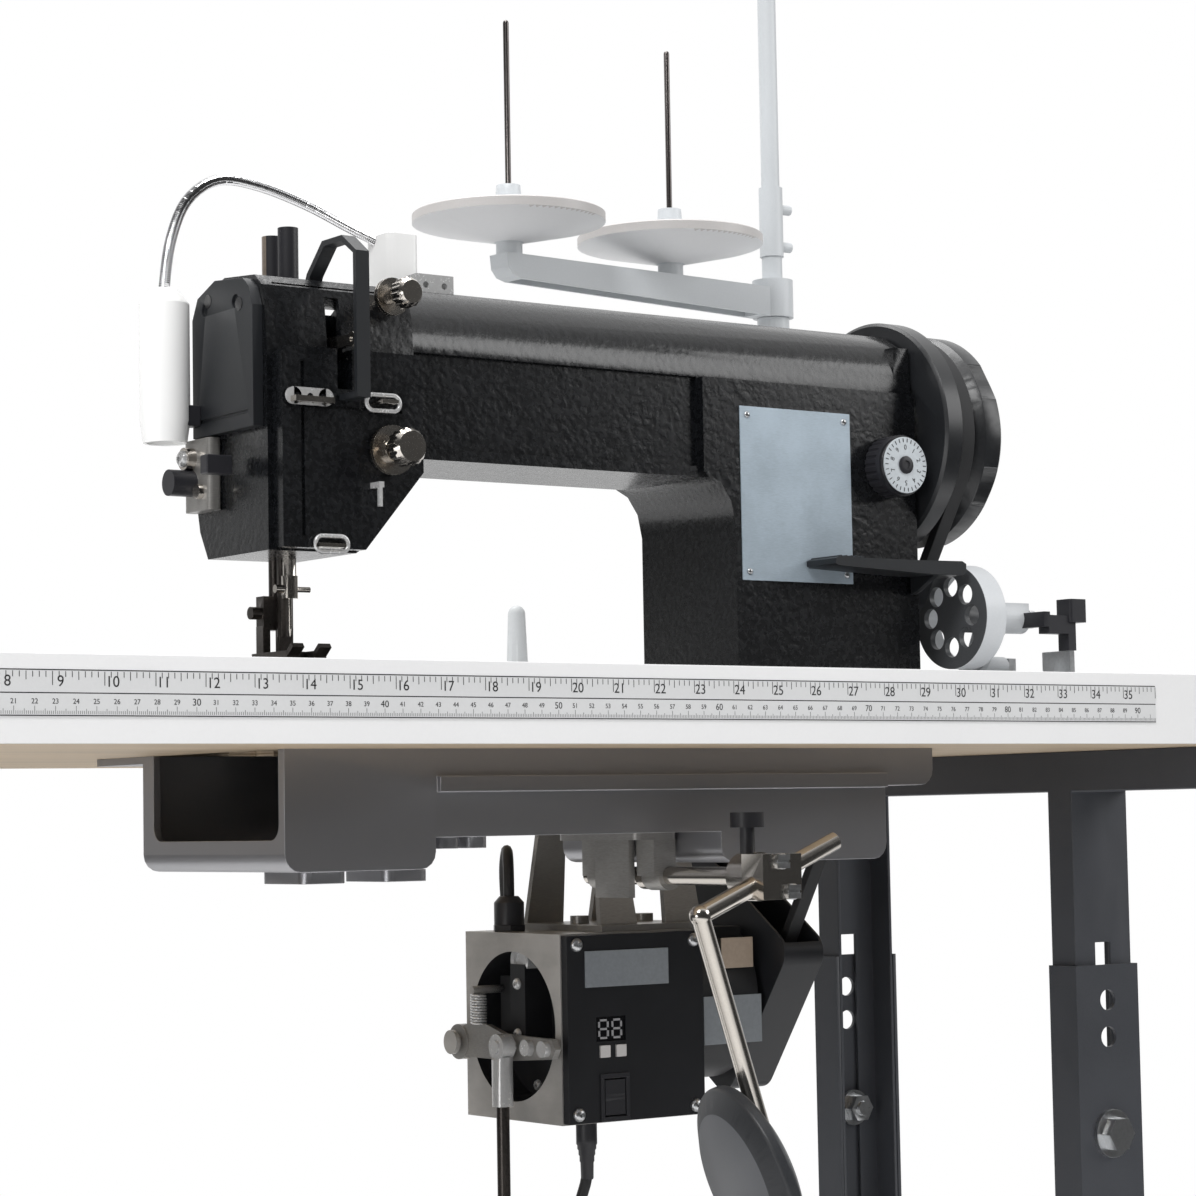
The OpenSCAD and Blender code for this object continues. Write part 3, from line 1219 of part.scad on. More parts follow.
// ---- bobbin winder ----
module winder_base() {
  color("#9fa1a4") on_table() difference() {
    union() {
      span([wheel_x1 - 14, winder_y - 34, 0], [wheel_x1 + 24, winder_y + 22, 3]);
      span([wheel_x1 - 14, winder_y + 12, 0], [wheel_x1 - 8, winder_y + 22, 16]);
      span([wheel_x1 + 18, winder_y + 12, 0], [wheel_x1 + 24, winder_y + 22, 16]);
      span([wheel_x1 + 37, winder_y - 12, 0], [wheel_x1 + 50, winder_y + 12, 3]);
      span([wheel_x1 + 24, winder_y - 6, 0], [wheel_x1 + 37, winder_y + 6, 3]);
      span([wheel_x1 + 46, winder_y - 12, 0], [wheel_x1 + 50, winder_y + 12, 20]);
    }
    rod_x([wheel_x1 - 15, winder_y + 17, 11], 3 + run_gap, 45);
    for (x = [-7, 17]) rod_z([wheel_x1 + x, winder_y - 25, -1], 2.5, 6);
  }
}
module winder_arm() {
  color("#a9abae") on_table() {
    rod_x([wheel_x1 - 15, winder_y + 17, 11], 3, 40);
    difference() {
      union() {
        along_x(wheel_x1 - 7.5, wheel_x1 - 3.5) polygon([
          [winder_y + 11, 6], [winder_y + 23, 6], [winder_y + 23, 16], [winder_y + 9, winder_z + 8],
          [winder_y - 9, winder_z + 8], [winder_y - 9, winder_z - 9]
        ]);
        rod_x([wheel_x1 - 7.5, winder_y + 17, 11], 6, 25);
        rod_x([wheel_x1 - 7.5, winder_y, winder_z], 9, 25);
        span([wheel_x1 - 4, winder_y - 8, winder_z + 4], [wheel_x1 + 17, winder_y + 8, winder_z + 9]);
        span([wheel_x1 + 12, winder_y - 26, winder_z - 6], [wheel_x1 + 17, winder_y + 8, winder_z + 3]);
        span([wheel_x1 + 16, winder_y - 26, winder_z - 10], [wheel_x1 + 38, winder_y - 17, winder_z + 1]);
        round_box([wheel_x1 + 32, winder_y - 28, winder_z - 3], [wheel_x1 + 46, winder_y - 15, winder_z + 11], 2);
        span([wheel_x1 + 32, winder_y - 26, winder_z - 20], [wheel_x1 + 38, winder_y - 17, winder_z - 9]);
      }
      rod_x([wheel_x1 - 8, winder_y, winder_z], 3.5 + run_gap, 30);
    }
  }
}
module winder_wheel() {
  x = wheel_x1 - 39;
  color("#2d2f33") on_table() {
    difference() {
      union() {
        rod_x([x, winder_y, winder_z], 31, 4);
        ring_x([x, winder_y, winder_z], 31, 27, 16);
        rod_x([x, winder_y, winder_z], 9, 20);
      }
      for (i = [0:7]) translate([0, winder_y, winder_z]) rotate([i * 45, 0, 0]) rod_x([x - 1, 0, 18], 6, 6);
    }
    rod_x([x, winder_y, winder_z], 3.5, 83);
    rod_x([x + 62, winder_y, winder_z], 5.5, 4);
  }
}

// ---- thread stand ----
module thread_mast() {
  color("#b4b6b8") on_table() translate([mast_x, mast_y, 0]) {
    rod_z([0, 0, 0], 19, 5);
    rod_z([0, 0, 5], 12, 9);
    rod_z([0, 0, -table_t - 12], mast_r, 330 + table_t);
    translate([0, 0, -table_t - 8]) rotate(30) cylinder(r = 10.5, h = 8, $fn = 6);
    rod_z([0, 0, 318], mast_r - 0.7, mast_h - 318);
    rod_z([0, 0, 306], 8.2, 48);
    rod_z([0, 0, spool_arm_z - 10 - air - 12], 11, 12);
    for (z = [314, 340]) rod_x([6, 0, z], 3.5, 10);
    rod_z([0, 0, guide_z - 10], 9, 10 - air);
    rod_z([0, 0, mast_h - 1], mast_r + 1.5, 5);
  }
}
// A spool seat: cone, disc, hub and pin
module spool_seat() {
  rotate_extrude($fn = 96) polygon([
    [0, 0], [8.5, 0], [8.5, 7.4], [11, 8.5], [disc_r - 3, 19.5], [disc_r, 20.5], [disc_r, 26],
    [disc_r - 1, 26.8], [disc_r - 4, 24.5], [12, 14], [9.4, 14], [9.4, 30], [8.9, 30.5], [7.8, 45], [0, 45]
  ]);
  rod_z([0, 0, 44], pin_r, 107);
  translate([0, 0, 151]) sphere(r = pin_r - 0.05, $fn = 24);
}
module spool_arm() {
  color("#d2d3d5") on_table() translate([mast_x, mast_y, 0]) rotate([0, 0, 180 + spool_turn]) {
    difference() {
      union() {
        along_y(-9, 9) polygon([
          [6, spool_arm_z - 10], [spool_1 + spool_pitch - 3, spool_arm_z - 6],
          [spool_1 + spool_pitch + 4, spool_arm_z - 4], [spool_1 + spool_pitch + 8, spool_arm_z + 1],
          [spool_1 + spool_pitch + 9, spool_arm_z + 10], [6, spool_arm_z + 10]
        ]);
        rod_z([0, 0, spool_arm_z - 10], 14, 26);
      }
      rod_z([0, 0, spool_arm_z - 11], mast_r + run_gap, 34);
      span([20, -7, spool_arm_z - 11], [spool_1 + spool_pitch - 4, 7, spool_arm_z + 7]);
    }
    for (x = [spool_1, spool_1 + spool_pitch]) {
      translate([x, 0, spool_arm_z + 10]) spool_seat();
      rod_z([x, 0, spool_arm_z - 3], 5, 14);
    }
    rod_y([0, -22, spool_arm_z], 3.5, 10);
  }
}
module top_guide_arm() {
  color("#c8cacc") on_table() translate([mast_x, mast_y, guide_z]) rotate([0, 0, 180 + spool_turn]) {
    difference() {
      union() {
        rod_z([0, 0, 0], 12, 14);
        span([8, -8, 3], [spool_1 + spool_pitch, 8, 6]);
        rod_z([spool_1 + spool_pitch, 0, 3], 8, 3);
      }
      rod_z([0, 0, -1], mast_r - 0.7 + run_gap, 17);
      for (x = [spool_1, spool_1 + spool_pitch]) rod_z([x, 0, 2], 3, 6);
    }
    for (x = [spool_1, spool_1 + spool_pitch]) translate([x, 0, 4.5])
      rotate_extrude($fn = 48) translate([4.4, 0]) circle(r = 1.6, $fn = 24);
  }
}

// ---- power cord ----
function cord_points() = [
  [box_x0 + 36, box_y0 + 26, table_h + box_top - box_h - 12],
  [box_x0 + 36, box_y0 + 26, table_h + box_top - box_h - 34],
  [box_x0 + 30, box_y0 + 32, table_h + box_top - box_h - 64],
  [box_x0 + 24, box_y0 + 46, 380],
  [box_x0 + 26, box_y0 + 60, 290],
  [box_x0 + 34, box_y0 + 64, 200],
  [box_x0 + 44, box_y0 + 60, 110],
  [box_x0 + 54, box_y0 + 42, 46],
  [box_x0 + 74, box_y0 + 26, 14],
  [box_x0 + 98, box_y0 + 13, cord_r + 1],
  [box_x0 + 114, box_y0 + 52 - coil_r, cord_r + 0.1],
  [box_x0 + 130, box_y0 + 52 - coil_r, cord_r + 0.1]
];
module power_cord() {
  color("#1b1b1c") sweep(smooth(cord_points(), 4), cord_r, 10, [0, 1, 0]);
}
module power_coil() {
  color("#1b1b1c") {
    translate([box_x0 + 156, box_y0 + 52, cord_r + 0.1]) {
      for (i = [0:2], r = [coil_r - 7.1, coil_r])
        translate([0, 0, i * 7.1]) rotate_extrude($fn = 96) translate([r, 0]) circle(r = cord_r, $fn = 24);
      rod_x([-26, -coil_r, 0], cord_r - 0.05, 27);
      rod_y([coil_r, -1, 0], cord_r - 0.05, 27);
    }
    span([box_x0 + 110, box_y0 + 44, 0.2], [box_x0 + 126, box_y0 + 60, 22]);
  }
}
module power_plug() {
  color("#1b1b1c") translate([box_x0 + 156 + coil_r, box_y0 + 112, 0]) {
    round_box([-14, -18, 0.2], [14, 26, 19], 5);
    rod_y([0, -34, cord_r + 0.1], cord_r, 17);
    rod_y([0, -28, 6.5], 5, 11);
    for (x = [-6.4, 6.4]) span([x - 0.8, 26, 6.4], [x + 0.8, 42, 12.8]);
    rod_y([0, 26, 15], 2.2, 14);
  }
}

lower_frames();
leg_hardware();
treadle_support();
treadle();
pitman_tube();
table_core();
table_laminate();
ruler_strip();
upper_frames();
drip_pan();
head_mounts();
head_rest_post();
motor_bracket();
motor_body();
control_box();
control_panel();
belt_guard();
cable_glands();
motor_cable();
knee_bracket();
thread_mast();
winder_base();
power_cord();
power_coil();
power_plug();
motor_pulley();
speed_lever();
lever_spring();
pitman_rod();
knee_lever();
knee_pad();
rocker_switch();
mode_buttons();
bed();
arm_casting();
face_cover();
needle_plate();
slide_plate();
rotary_hook();
feed_dog();
handwheel();
main_shaft();
timing_belt();
v_belt();
needle_bar();
presser_foot();
walking_foot();
foot_lifter();
take_up_lever();
thread_guides();
tension_knob_main();
tension_knob_upper();
stitch_dial();
reverse_lever();
presser_fittings();
lamp();
winder_arm();
winder_wheel();
spool_arm();
top_guide_arm();
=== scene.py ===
"""Looks of a flat-bed walking-foot sewing machine on its stand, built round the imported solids."""

from __future__ import annotations

import logging
import math
from dataclasses import dataclass
from enum import Enum
from functools import cache
from typing import Any, Callable, Iterable, Sequence

import bmesh
import bpy
from mathutils import Matrix, Vector


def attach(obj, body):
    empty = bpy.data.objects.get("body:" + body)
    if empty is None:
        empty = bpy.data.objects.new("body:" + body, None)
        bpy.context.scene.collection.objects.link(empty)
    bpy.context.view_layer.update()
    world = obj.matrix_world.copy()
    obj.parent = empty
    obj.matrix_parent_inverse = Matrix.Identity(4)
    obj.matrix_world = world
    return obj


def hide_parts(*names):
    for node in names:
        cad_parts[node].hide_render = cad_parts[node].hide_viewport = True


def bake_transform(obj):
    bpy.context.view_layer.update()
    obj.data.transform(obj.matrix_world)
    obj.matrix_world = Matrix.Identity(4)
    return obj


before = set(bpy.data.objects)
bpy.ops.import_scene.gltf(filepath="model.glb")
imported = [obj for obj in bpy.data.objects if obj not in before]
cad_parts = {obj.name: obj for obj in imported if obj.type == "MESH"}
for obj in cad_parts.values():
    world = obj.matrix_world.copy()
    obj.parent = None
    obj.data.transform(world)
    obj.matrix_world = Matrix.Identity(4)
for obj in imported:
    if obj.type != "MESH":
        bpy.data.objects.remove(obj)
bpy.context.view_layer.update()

log = logging.getLogger("sewing_machine")

MM = 0.001
# the table's height in millimetres
TABLE_H = 770.0
# distances in metres under which vertices are joined and edges are dropped
WELD = 2e-6
SLIVER = 1e-6
# angles in degrees: faces taken as one, edges left sharp, edges that are rounded
FLAT_DEG = 0.6
SHARP_DEG = 35.0
BEVEL_DEG = 32.0
# faces round a fastener's head
HEAD_SIDES = 24
# thickness in metres of printed numbers and of printed marks
INK_THICK = 0.00004
TICK_THICK = 0.00012
# directions
FRONT = (0, -1, 0)
LEFT = (-1, 0, 0)

# short names for types; settings are values by property, socket name or socket index
Point = tuple[float, float, float]
Profile = Sequence[tuple[float, float]]
BMesh = bmesh.types.BMesh
Node = bpy.types.Node
Object = bpy.types.Object
Socket = bpy.types.NodeSocket
Tree = bpy.types.NodeTree
Settings = dict[Any, Any] | None


def row(x: float, y: float, z: float) -> Vector:
    """A point in metres from millimetres, with z counted from the table's surface."""
    return Vector((x * MM, y * MM, (TABLE_H + z) * MM))


def floor(x: float, y: float, z: float) -> Vector:
    """A point in metres from millimetres, with z counted from the floor."""
    return Vector((x * MM, y * MM, z * MM))


def add_node(tree: Tree, kind: str, settings: Settings = None, inputs: Settings = None) -> Node:
    """Adds a node to a tree.

    Args:
        tree: the shader, world or Geometry Nodes tree.
        kind: the node's type name.
        settings: properties, which are set first.
        inputs: values or links by socket name or index.

    Returns:
        The new node.
    """
    made = tree.nodes.new(kind)
    for key, value in (settings or {}).items():
        setattr(made, key, value)
    for key, value in (inputs or {}).items():
        feed(tree, made.inputs[key], value)
    return made


def feed(tree: Tree, socket: Socket, value: Any) -> None:
    """Links a wrapped or plain socket to an input, or sets its value."""
    if isinstance(value, Value):
        value = value.socket
    if isinstance(value, Socket):
        tree.links.new(value, socket)
    else:
        socket.default_value = value


# ---------------------------------------------------------------- shader tools


class Value:
    """A number that varies over a surface: a node socket with arithmetic."""

    def __init__(self, shader: Shader, socket: Socket) -> None:
        """Wraps one output socket of a shader's tree."""
        self.shader = shader
        self.socket = socket

    def _math(self, operation: str, *terms: Any) -> Value:
        """Adds one Math node whose inputs are the terms, in order."""
        made = self.shader.node("ShaderNodeMath", {"operation": operation}, dict(enumerate(terms)))
        return Value(self.shader, made.outputs[0])

    def __add__(self, other: Any) -> Value:
        """Sum."""
        return self._math("ADD", self, other)

    __radd__ = __add__

    def __sub__(self, other: Any) -> Value:
        """Difference."""
        return self._math("SUBTRACT", self, other)

    def __rsub__(self, other: Any) -> Value:
        """Reflected difference."""
        return self._math("SUBTRACT", other, self)

    def __mul__(self, other: Any) -> Value:
        """Product."""
        return self._math("MULTIPLY", self, other)

    def wave(self, height: float) -> Value:
        """Rises to a height and falls back to 0, over and over."""
        return self._math("PINGPONG", self, height)

    def step(self, low: float, high: float) -> Value:
        """Rises smoothly from 0 at low to 1 at high."""
        inputs = {"Value": self, "From Min": low, "From Max": high}
        made = self.shader.node("ShaderNodeMapRange", {"interpolation_type": "SMOOTHSTEP"}, inputs)
        return Value(self.shader, made.outputs[0])


class Shader:
    """One material's node tree, with short ways to add what the finishes use."""

    def __init__(self, name: str) -> None:
        """Makes an empty material with a Principled shader."""
        self.material = bpy.data.materials.new(name)
        self.material.use_nodes = True
        self.tree = self.material.node_tree
        self.surface = self.tree.nodes["Principled BSDF"]

    def node(self, kind: str, settings: Settings = None, inputs: Settings = None) -> Node:
        """Adds a node with its settings and its values or links."""
        return add_node(self.tree, kind, settings, inputs)

    def place(self, scale: Sequence[float] = (1, 1, 1)) -> Socket:
        """Object coordinates, stretched by a scale."""
        coords = self.node("ShaderNodeTexCoord")
        inputs = {"Vector": coords.outputs["Object"], "Scale": tuple(scale)}
        return self.node("ShaderNodeMapping", {}, inputs).outputs[0]

    def noise(self, where: Socket, scale: float, detail: float, rough: float = 0.55) -> Value:
        """Fractal noise from 0 to 1."""
        inputs = {"Vector": where, "Scale": scale, "Detail": detail, "Roughness": rough}
        return Value(self, self.node("ShaderNodeTexNoise", {}, inputs).outputs[0])

    def cells(self, where: Socket, scale: float) -> Value:
        """Distance to the nearest cell centre."""
        inputs = {"Vector": where, "Scale": scale, "Smoothness": 0.6}
        return Value(self, self.node("ShaderNodeTexVoronoi", {"feature": "SMOOTH_F1"}, inputs).outputs[0])

    def blend(self, share: Value, low: Any, high: Any) -> Socket:
        """Mixes two colours, given as three numbers or as a socket, by a number."""
        low, high = (c if isinstance(c, Socket) else (*c, 1.0) for c in (low, high))
        return self.node("ShaderNodeMix", {"data_type": "RGBA"}, {0: share, 6: low, 7: high}).outputs[2]

    def dress(self, colour: Any, rough: Value, height: Value, depth_mm: float) -> None:
        """Feeds the surface its colour, its roughness and the bump of a height that is depth_mm deep."""
        bump = self.node("ShaderNodeBump", {}, {"Height": height, "Strength": 1.0, "Distance": depth_mm * MM})
        for name, value in (("Base Color", colour), ("Roughness", rough), ("Normal", bump.outputs[0])):
            feed(self.tree, self.surface.inputs[name], value)


# ---------------------------------------------------------------- finishes


@dataclass(frozen=True)
class Finish:
    """A painted, plated, cast or moulded surface.

    Attributes say its colour, how much that varies, its roughness, how metallic it is, its clear coat,
    and its grain: how many grains a metre holds, how deep they are in millimetres and how they are
    stretched along each axis. The mottle is how many broad patches a metre holds.
    """

    name: str
    base: Point
    rough: float = 0.4
    metallic: float = 0.0
    vary: float = 0.12
    rough_vary: float = 0.1
    coat: float = 0.0
    coat_rough: float = 0.1
    grain: float = 900.0
    depth: float = 0.02
    stretch: Point = (1, 1, 1)
    mottle: float = 14.0

    def build(self) -> bpy.types.Material:
        """Makes the material, or returns the one already made."""
        known = bpy.data.materials.get(self.name)
        if known is not None:
            return known
        sh = Shader(self.name)
        self.colour(sh)
        sh.surface.inputs["Metallic"].default_value = self.metallic
        sh.surface.inputs["Coat Weight"].default_value = self.coat
        sh.surface.inputs["Coat Roughness"].default_value = self.coat_rough
        return sh.material

    def shades(self) -> tuple[Point, Point]:
        """The darkest and lightest colour of the surface."""
        low = tuple(max(0.0, c * (1 - self.vary)) for c in self.base)
        high = tuple(min(1.0, c * (1 + self.vary)) for c in self.base)
        return low, high

    def colour(self, sh: Shader) -> None:
        """Feeds colour, roughness and bump of an even surface with fine grain."""
        where = sh.place(self.stretch)
        cloud = sh.noise(sh.place(), self.mottle, 4.0)
        fine = sh.noise(where, self.grain, 2.0)
        low, high = self.shades()
        tone = sh.blend((cloud * 0.6 + fine * 0.4).step(0.3, 0.7), low, high)
        rough = self.rough + (fine * 0.6 + cloud * 0.4 - 0.5) * self.rough_vary * 2
        sh.dress(tone, rough, fine, self.depth)


@dataclass(frozen=True)
class Hammered(Finish):
    """Stove enamel that has drawn up into small soft bumps as it cured."""

    grain: float = 360.0
    depth: float = 0.27

    def colour(self, sh: Shader) -> None:
        """Feeds the wrinkled surface: rounded bumps broken by broad calm patches."""
        where = sh.place()
        bumps = sh.noise(where, self.grain, 1.5, 0.45)
        lumps = sh.cells(where, self.grain * 0.55)
        calm = sh.noise(where, 26.0, 2.0).step(0.3, 0.7)
        low, high = self.shades()
        tone = sh.blend(bumps.step(0.35, 0.65), low, high)
        rough = self.rough + (bumps - 0.5) * self.rough_vary
        sh.dress(tone, rough, (bumps * 0.7 - lumps * 0.5) * (calm * 0.6 + 0.4), self.depth)


@dataclass(frozen=True)
class SandCast(Finish):
    """Raw die-cast aluminium: dull skin, flow marks and brighter rubbed places."""

    def colour(self, sh: Shader) -> None:
        """Feeds streaked flow marks over a dull pitted skin."""
        flow = sh.noise(sh.place((5, 14, 34)), 1.0, 5.0, 0.6)
        cloud = sh.noise(sh.place(), 16.0, 4.0)
        pits = sh.noise(sh.place(), self.grain, 2.0)
        low, high = self.shades()
        tone = sh.blend((flow * 0.55 + cloud * 0.45).step(0.33, 0.67), low, high)
        rough = self.rough + (cloud - 0.5) * self.rough_vary * 2 + (flow - 0.5) * 0.12
        sh.dress(tone, rough, pits * 0.5 + flow, self.depth)


@dataclass(frozen=True)
class Ply(Finish):
    """Birch plywood seen on its underside and edges."""

    layer_mm: float = 1.6
    glue: Point = (0.3, 0.2, 0.11)

    def colour(self, sh: Shader) -> None:
        """Feeds long grain on the faces and thin dark glue lines through the thickness."""
        grain = sh.noise(sh.place((3, 60, 60)), 1.6, 6.0, 0.6)
        coords = sh.node("ShaderNodeSeparateXYZ", {}, {0: sh.place()})
        height = Value(sh, coords.outputs[2])
        layers = height.wave(self.layer_mm * MM) * (1 / (self.layer_mm * MM))
        low, high = self.shades()
        tone = sh.blend(grain.step(0.35, 0.68), low, high)
        edges = sh.blend(layers.step(0.0, 0.35), self.glue, tone)
        sh.dress(edges, self.rough + (grain - 0.5) * 0.2, grain, self.depth)


ENAMEL = Hammered(
    "black_enamel", (0.0045, 0.005, 0.006), rough=0.27, vary=0.3, rough_vary=0.12, coat=0.3, coat_rough=0.12
)
WHEEL_ENAMEL = Finish(
    "wheel_enamel", (0.013, 0.014, 0.016), rough=0.36, vary=0.25, coat=0.25, coat_rough=0.25, grain=700
)
COVER = Finish("cover_paint", (0.013, 0.0145, 0.017), rough=0.42, vary=0.2, grain=1500, depth=0.035)
STAND_PAINT = Finish(
    "stand_paint",
    (0.058, 0.062, 0.072),
    rough=0.42,
    vary=0.1,
    coat=0.1,
    coat_rough=0.4,
    grain=1100,
    depth=0.03,
)
TREADLE_PAINT = Finish("treadle_paint", (0.03, 0.031, 0.034), rough=0.5, vary=0.2, grain=800, depth=0.05)
ZINC = Finish("zinc_plate", (0.60, 0.61, 0.62), rough=0.3, metallic=1.0, grain=500, depth=0.01)
STEEL = Finish(
    "plain_steel",
    (0.50, 0.49, 0.47),
    rough=0.3,
    metallic=1.0,
    vary=0.14,
    grain=240,
    stretch=(14, 1, 1),
    depth=0.008,
)
BRACKET = Finish(
    "bracket_steel",
    (0.33, 0.32, 0.305),
    rough=0.36,
    metallic=0.6,
    vary=0.18,
    grain=300,
    stretch=(1, 1, 9),
    depth=0.012,
)
NICKEL = Finish(
    "nickel_plate", (0.66, 0.62, 0.57), rough=0.17, metallic=1.0, vary=0.06, rough_vary=0.06, depth=0.004
)
CHROME = Finish(
    "chrome_plate", (0.74, 0.74, 0.75), rough=0.1, metallic=1.0, vary=0.04, rough_vary=0.05, depth=0.002
)
BURNT = Finish("burnished_steel", (0.085, 0.076, 0.07), rough=0.3, metallic=0.9, vary=0.25, grain=700)
BRONZE = Finish(
    "bronze_bush", (0.24, 0.20, 0.165), rough=0.36, metallic=0.4, vary=0.16, grain=600, depth=0.012
)
CAST_PAN = SandCast(
    "cast_pan",
    (0.25, 0.252, 0.26),
    rough=0.38,
    metallic=0.6,
    vary=0.34,
    rough_vary=0.12,
    grain=700,
    depth=0.09,
)
CAST_BOX = SandCast("cast_box", (0.43, 0.415, 0.395), metallic=0.4, vary=0.2, depth=0.05)
PANEL = Finish("panel_black", (0.012, 0.0125, 0.015), rough=0.38, vary=0.2, grain=1800, depth=0.012)
MOTOR = Finish("motor_black", (0.014, 0.0145, 0.0165), rough=0.45, vary=0.25, depth=0.04)
GUARD = Finish("guard_plastic", (0.017, 0.018, 0.021), vary=0.18, grain=1300)
BLACK_PLASTIC = Finish("black_plastic", (0.012, 0.012, 0.013), vary=0.15, grain=1400, depth=0.012)
CABLE = Finish("cable_jacket", (0.017, 0.0172, 0.018), rough=0.5, vary=0.15, grain=1200, depth=0.012)
BELT = Finish("belt_rubber", (0.017, 0.0175, 0.019), rough=0.6, vary=0.2, depth=0.05)
PAD_RUBBER = Finish("pad_rubber", (0.028, 0.030, 0.034), rough=0.42, vary=0.2, grain=1200, depth=0.04)
PAD_FACE = Finish("pad_face", (0.10, 0.105, 0.115), grain=1200)
LAMP_WHITE = Finish("lamp_white", (0.86, 0.86, 0.87), rough=0.3, vary=0.01, coat=0.3, grain=700, depth=0.004)
STAND_GREY = Finish("thread_stand_grey", (0.60, 0.625, 0.645), rough=0.36, vary=0.03, depth=0.008)
DISC_WHITE = Finish("disc_white", (0.74, 0.745, 0.755), rough=0.34, vary=0.02, depth=0.006)
DISC_RIM = Finish("disc_rim", (0.56, 0.54, 0.53), vary=0.04, depth=0.006)
PIN_STEEL = Finish(
    "pin_steel",
    (0.17, 0.155, 0.15),
    rough=0.3,
    metallic=1.0,
    vary=0.15,
    grain=400,
    stretch=(1, 1, 8),
    depth=0.008,
)
LAMINATE = Finish(
    "table_laminate_white",
    (0.83, 0.83, 0.835),
    rough=0.34,
    vary=0.012,
    grain=600,
    depth=0.012,
    coat=0.15,
    coat_rough=0.2,
)
PLYWOOD = Ply("birch_ply", (0.62, 0.50, 0.36), rough=0.55, vary=0.16, depth=0.06)
TAPE = Finish("ruler_tape", (0.66, 0.665, 0.67), rough=0.38, vary=0.02, grain=700, depth=0.004)
BRIGHT = Finish(
    "bright_plate", (0.60, 0.60, 0.60), rough=0.26, metallic=0.45, vary=0.08, grain=600, depth=0.006
)
INK = Finish("printed_ink", (0.02, 0.02, 0.022), rough=0.5, vary=0.2, depth=0.002)
PLATE_METAL = Finish(
    "etched_plate",
    (0.37, 0.44, 0.50),
    metallic=0.25,
    vary=0.16,
    grain=380,
    stretch=(1, 1, 12),
    depth=0.01,
    mottle=30,
)
LABEL = Finish("label_foil", (0.25, 0.27, 0.29), metallic=0.2, vary=0.1, grain=400, depth=0.004)
LABEL_TAN = Finish(
    "label_tan", (0.40, 0.32, 0.25), rough=0.45, metallic=0.1, vary=0.1, grain=400, depth=0.004
)
DIAL_FACE = Finish(
    "dial_face", (0.56, 0.60, 0.63), rough=0.36, metallic=0.3, vary=0.08, grain=420, depth=0.006
)
WINDER_GREY = Finish("winder_disc", (0.075, 0.078, 0.083), rough=0.42, vary=0.15, grain=1000)
WINDER_LIGHT = Finish("winder_light", (0.60, 0.62, 0.64), rough=0.42, vary=0.04, depth=0.008)
POST = Finish("rest_post", (0.66, 0.68, 0.69), vary=0.03, grain=800, depth=0.01)
# near-black glossy finish: the real dark glass of the display window, and painted shade on thin discs that
# stand for holes in the cover and the eye plate
DARK_GLASS_AND_HOLE_SHADE = Finish("display_window", (0.006, 0.006, 0.007), rough=0.12, vary=0.1, depth=0.001)
SEGMENT = Finish("display_segment", (0.30, 0.30, 0.31), vary=0.05, depth=0.001)


# ---------------------------------------------------------------- bodies and mesh tools


class Body(Enum):
    """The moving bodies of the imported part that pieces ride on."""

    STAND = "stand"
    TABLE = "table"
    TREADLE = "treadle"
    PITMAN_TUBE = "pitman_tube"
    PITMAN_ROD = "pitman_rod"
    SPEED_LEVER = "speed_lever"
    MOTOR_PULLEY = "motor_pulley"
    ROCKER = "rocker"
    BUTTONS = "buttons"
    KNEE = "knee"
    WINDER_ARM = "winder_arm"
    WINDER_WHEEL = "winder_wheel"
    SPOOL_ARM = "spool_arm"
    TOP_GUIDE = "top_guide"
    HEAD = "head"
    WHEEL = "wheel"
    HOOK = "hook"
    NEEDLE_BAR = "needle_bar"
    PRESSER = "presser"
    WALKING = "walking"
    LIFTER = "lifter"
    TAKE_UP = "take_up"
    FEED = "feed"
    SLIDE = "slide"
    DIAL = "dial"
    REVERSE = "reverse"
    TENSION_MAIN = "tension_main"
    TENSION_UPPER = "tension_upper"
    LAMP = "lamp"


def linked(name: str, data: Any) -> Object:
    """A new object of the scene that shows a mesh, a curve, a lamp or a camera."""
    obj = bpy.data.objects.new(name, data)
    bpy.context.scene.collection.objects.link(obj)
    return obj


def smoothed(mesh: bpy.types.Mesh, sharp_deg: float = SHARP_DEG) -> None:
    """Shades a mesh smooth except at edges sharper than an angle."""
    mesh.polygons.foreach_set("use_smooth", [True] * len(mesh.polygons))
    mesh.set_sharp_from_angle(angle=math.radians(sharp_deg))


def as_object(name: str, bm: BMesh, finish: Finish, sharp_deg: float = SHARP_DEG) -> Object:
    """Turns a bmesh into an object with one finish, smooth except at sharp edges."""
    mesh = bpy.data.meshes.new(name)
    bm.to_mesh(mesh)
    bm.free()
    mesh.materials.append(finish.build())
    smoothed(mesh, sharp_deg)
    return linked(name, mesh)


def baked(obj: Object) -> Object:
    """Applies an object's modifiers to its mesh."""
    graph = bpy.context.evaluated_depsgraph_get()
    mesh = bpy.data.meshes.new_from_object(obj.evaluated_get(graph))
    obj.modifiers.clear()
    old = obj.data
    obj.data = mesh
    if isinstance(old, bpy.types.Mesh):
        bpy.data.meshes.remove(old)
    return obj


def bevelled(obj: Object, width_mm: float, segments: int = 2, angle: float = BEVEL_DEG) -> Object:
    """Rounds an object's sharp edges and applies the result."""
    if width_mm > 0:
        mod = obj.modifiers.new("edges", "BEVEL")
        mod.width = width_mm * MM
        mod.segments = segments
        mod.limit_method = "ANGLE"
        mod.angle_limit = math.radians(angle)
        mod.harden_normals = True
        mod.use_clamp_overlap = True
        baked(obj)
    return obj


def fitted(obj: Object, body: Body, replaces: Sequence[str] = ()) -> Object:
    """Lets a piece ride on a body and the solids that it stands for."""
    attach(obj, body.value)
    if replaces:
        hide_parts(*replaces)
    log.info("piece %s on %s", obj.name, body.value)
    return obj


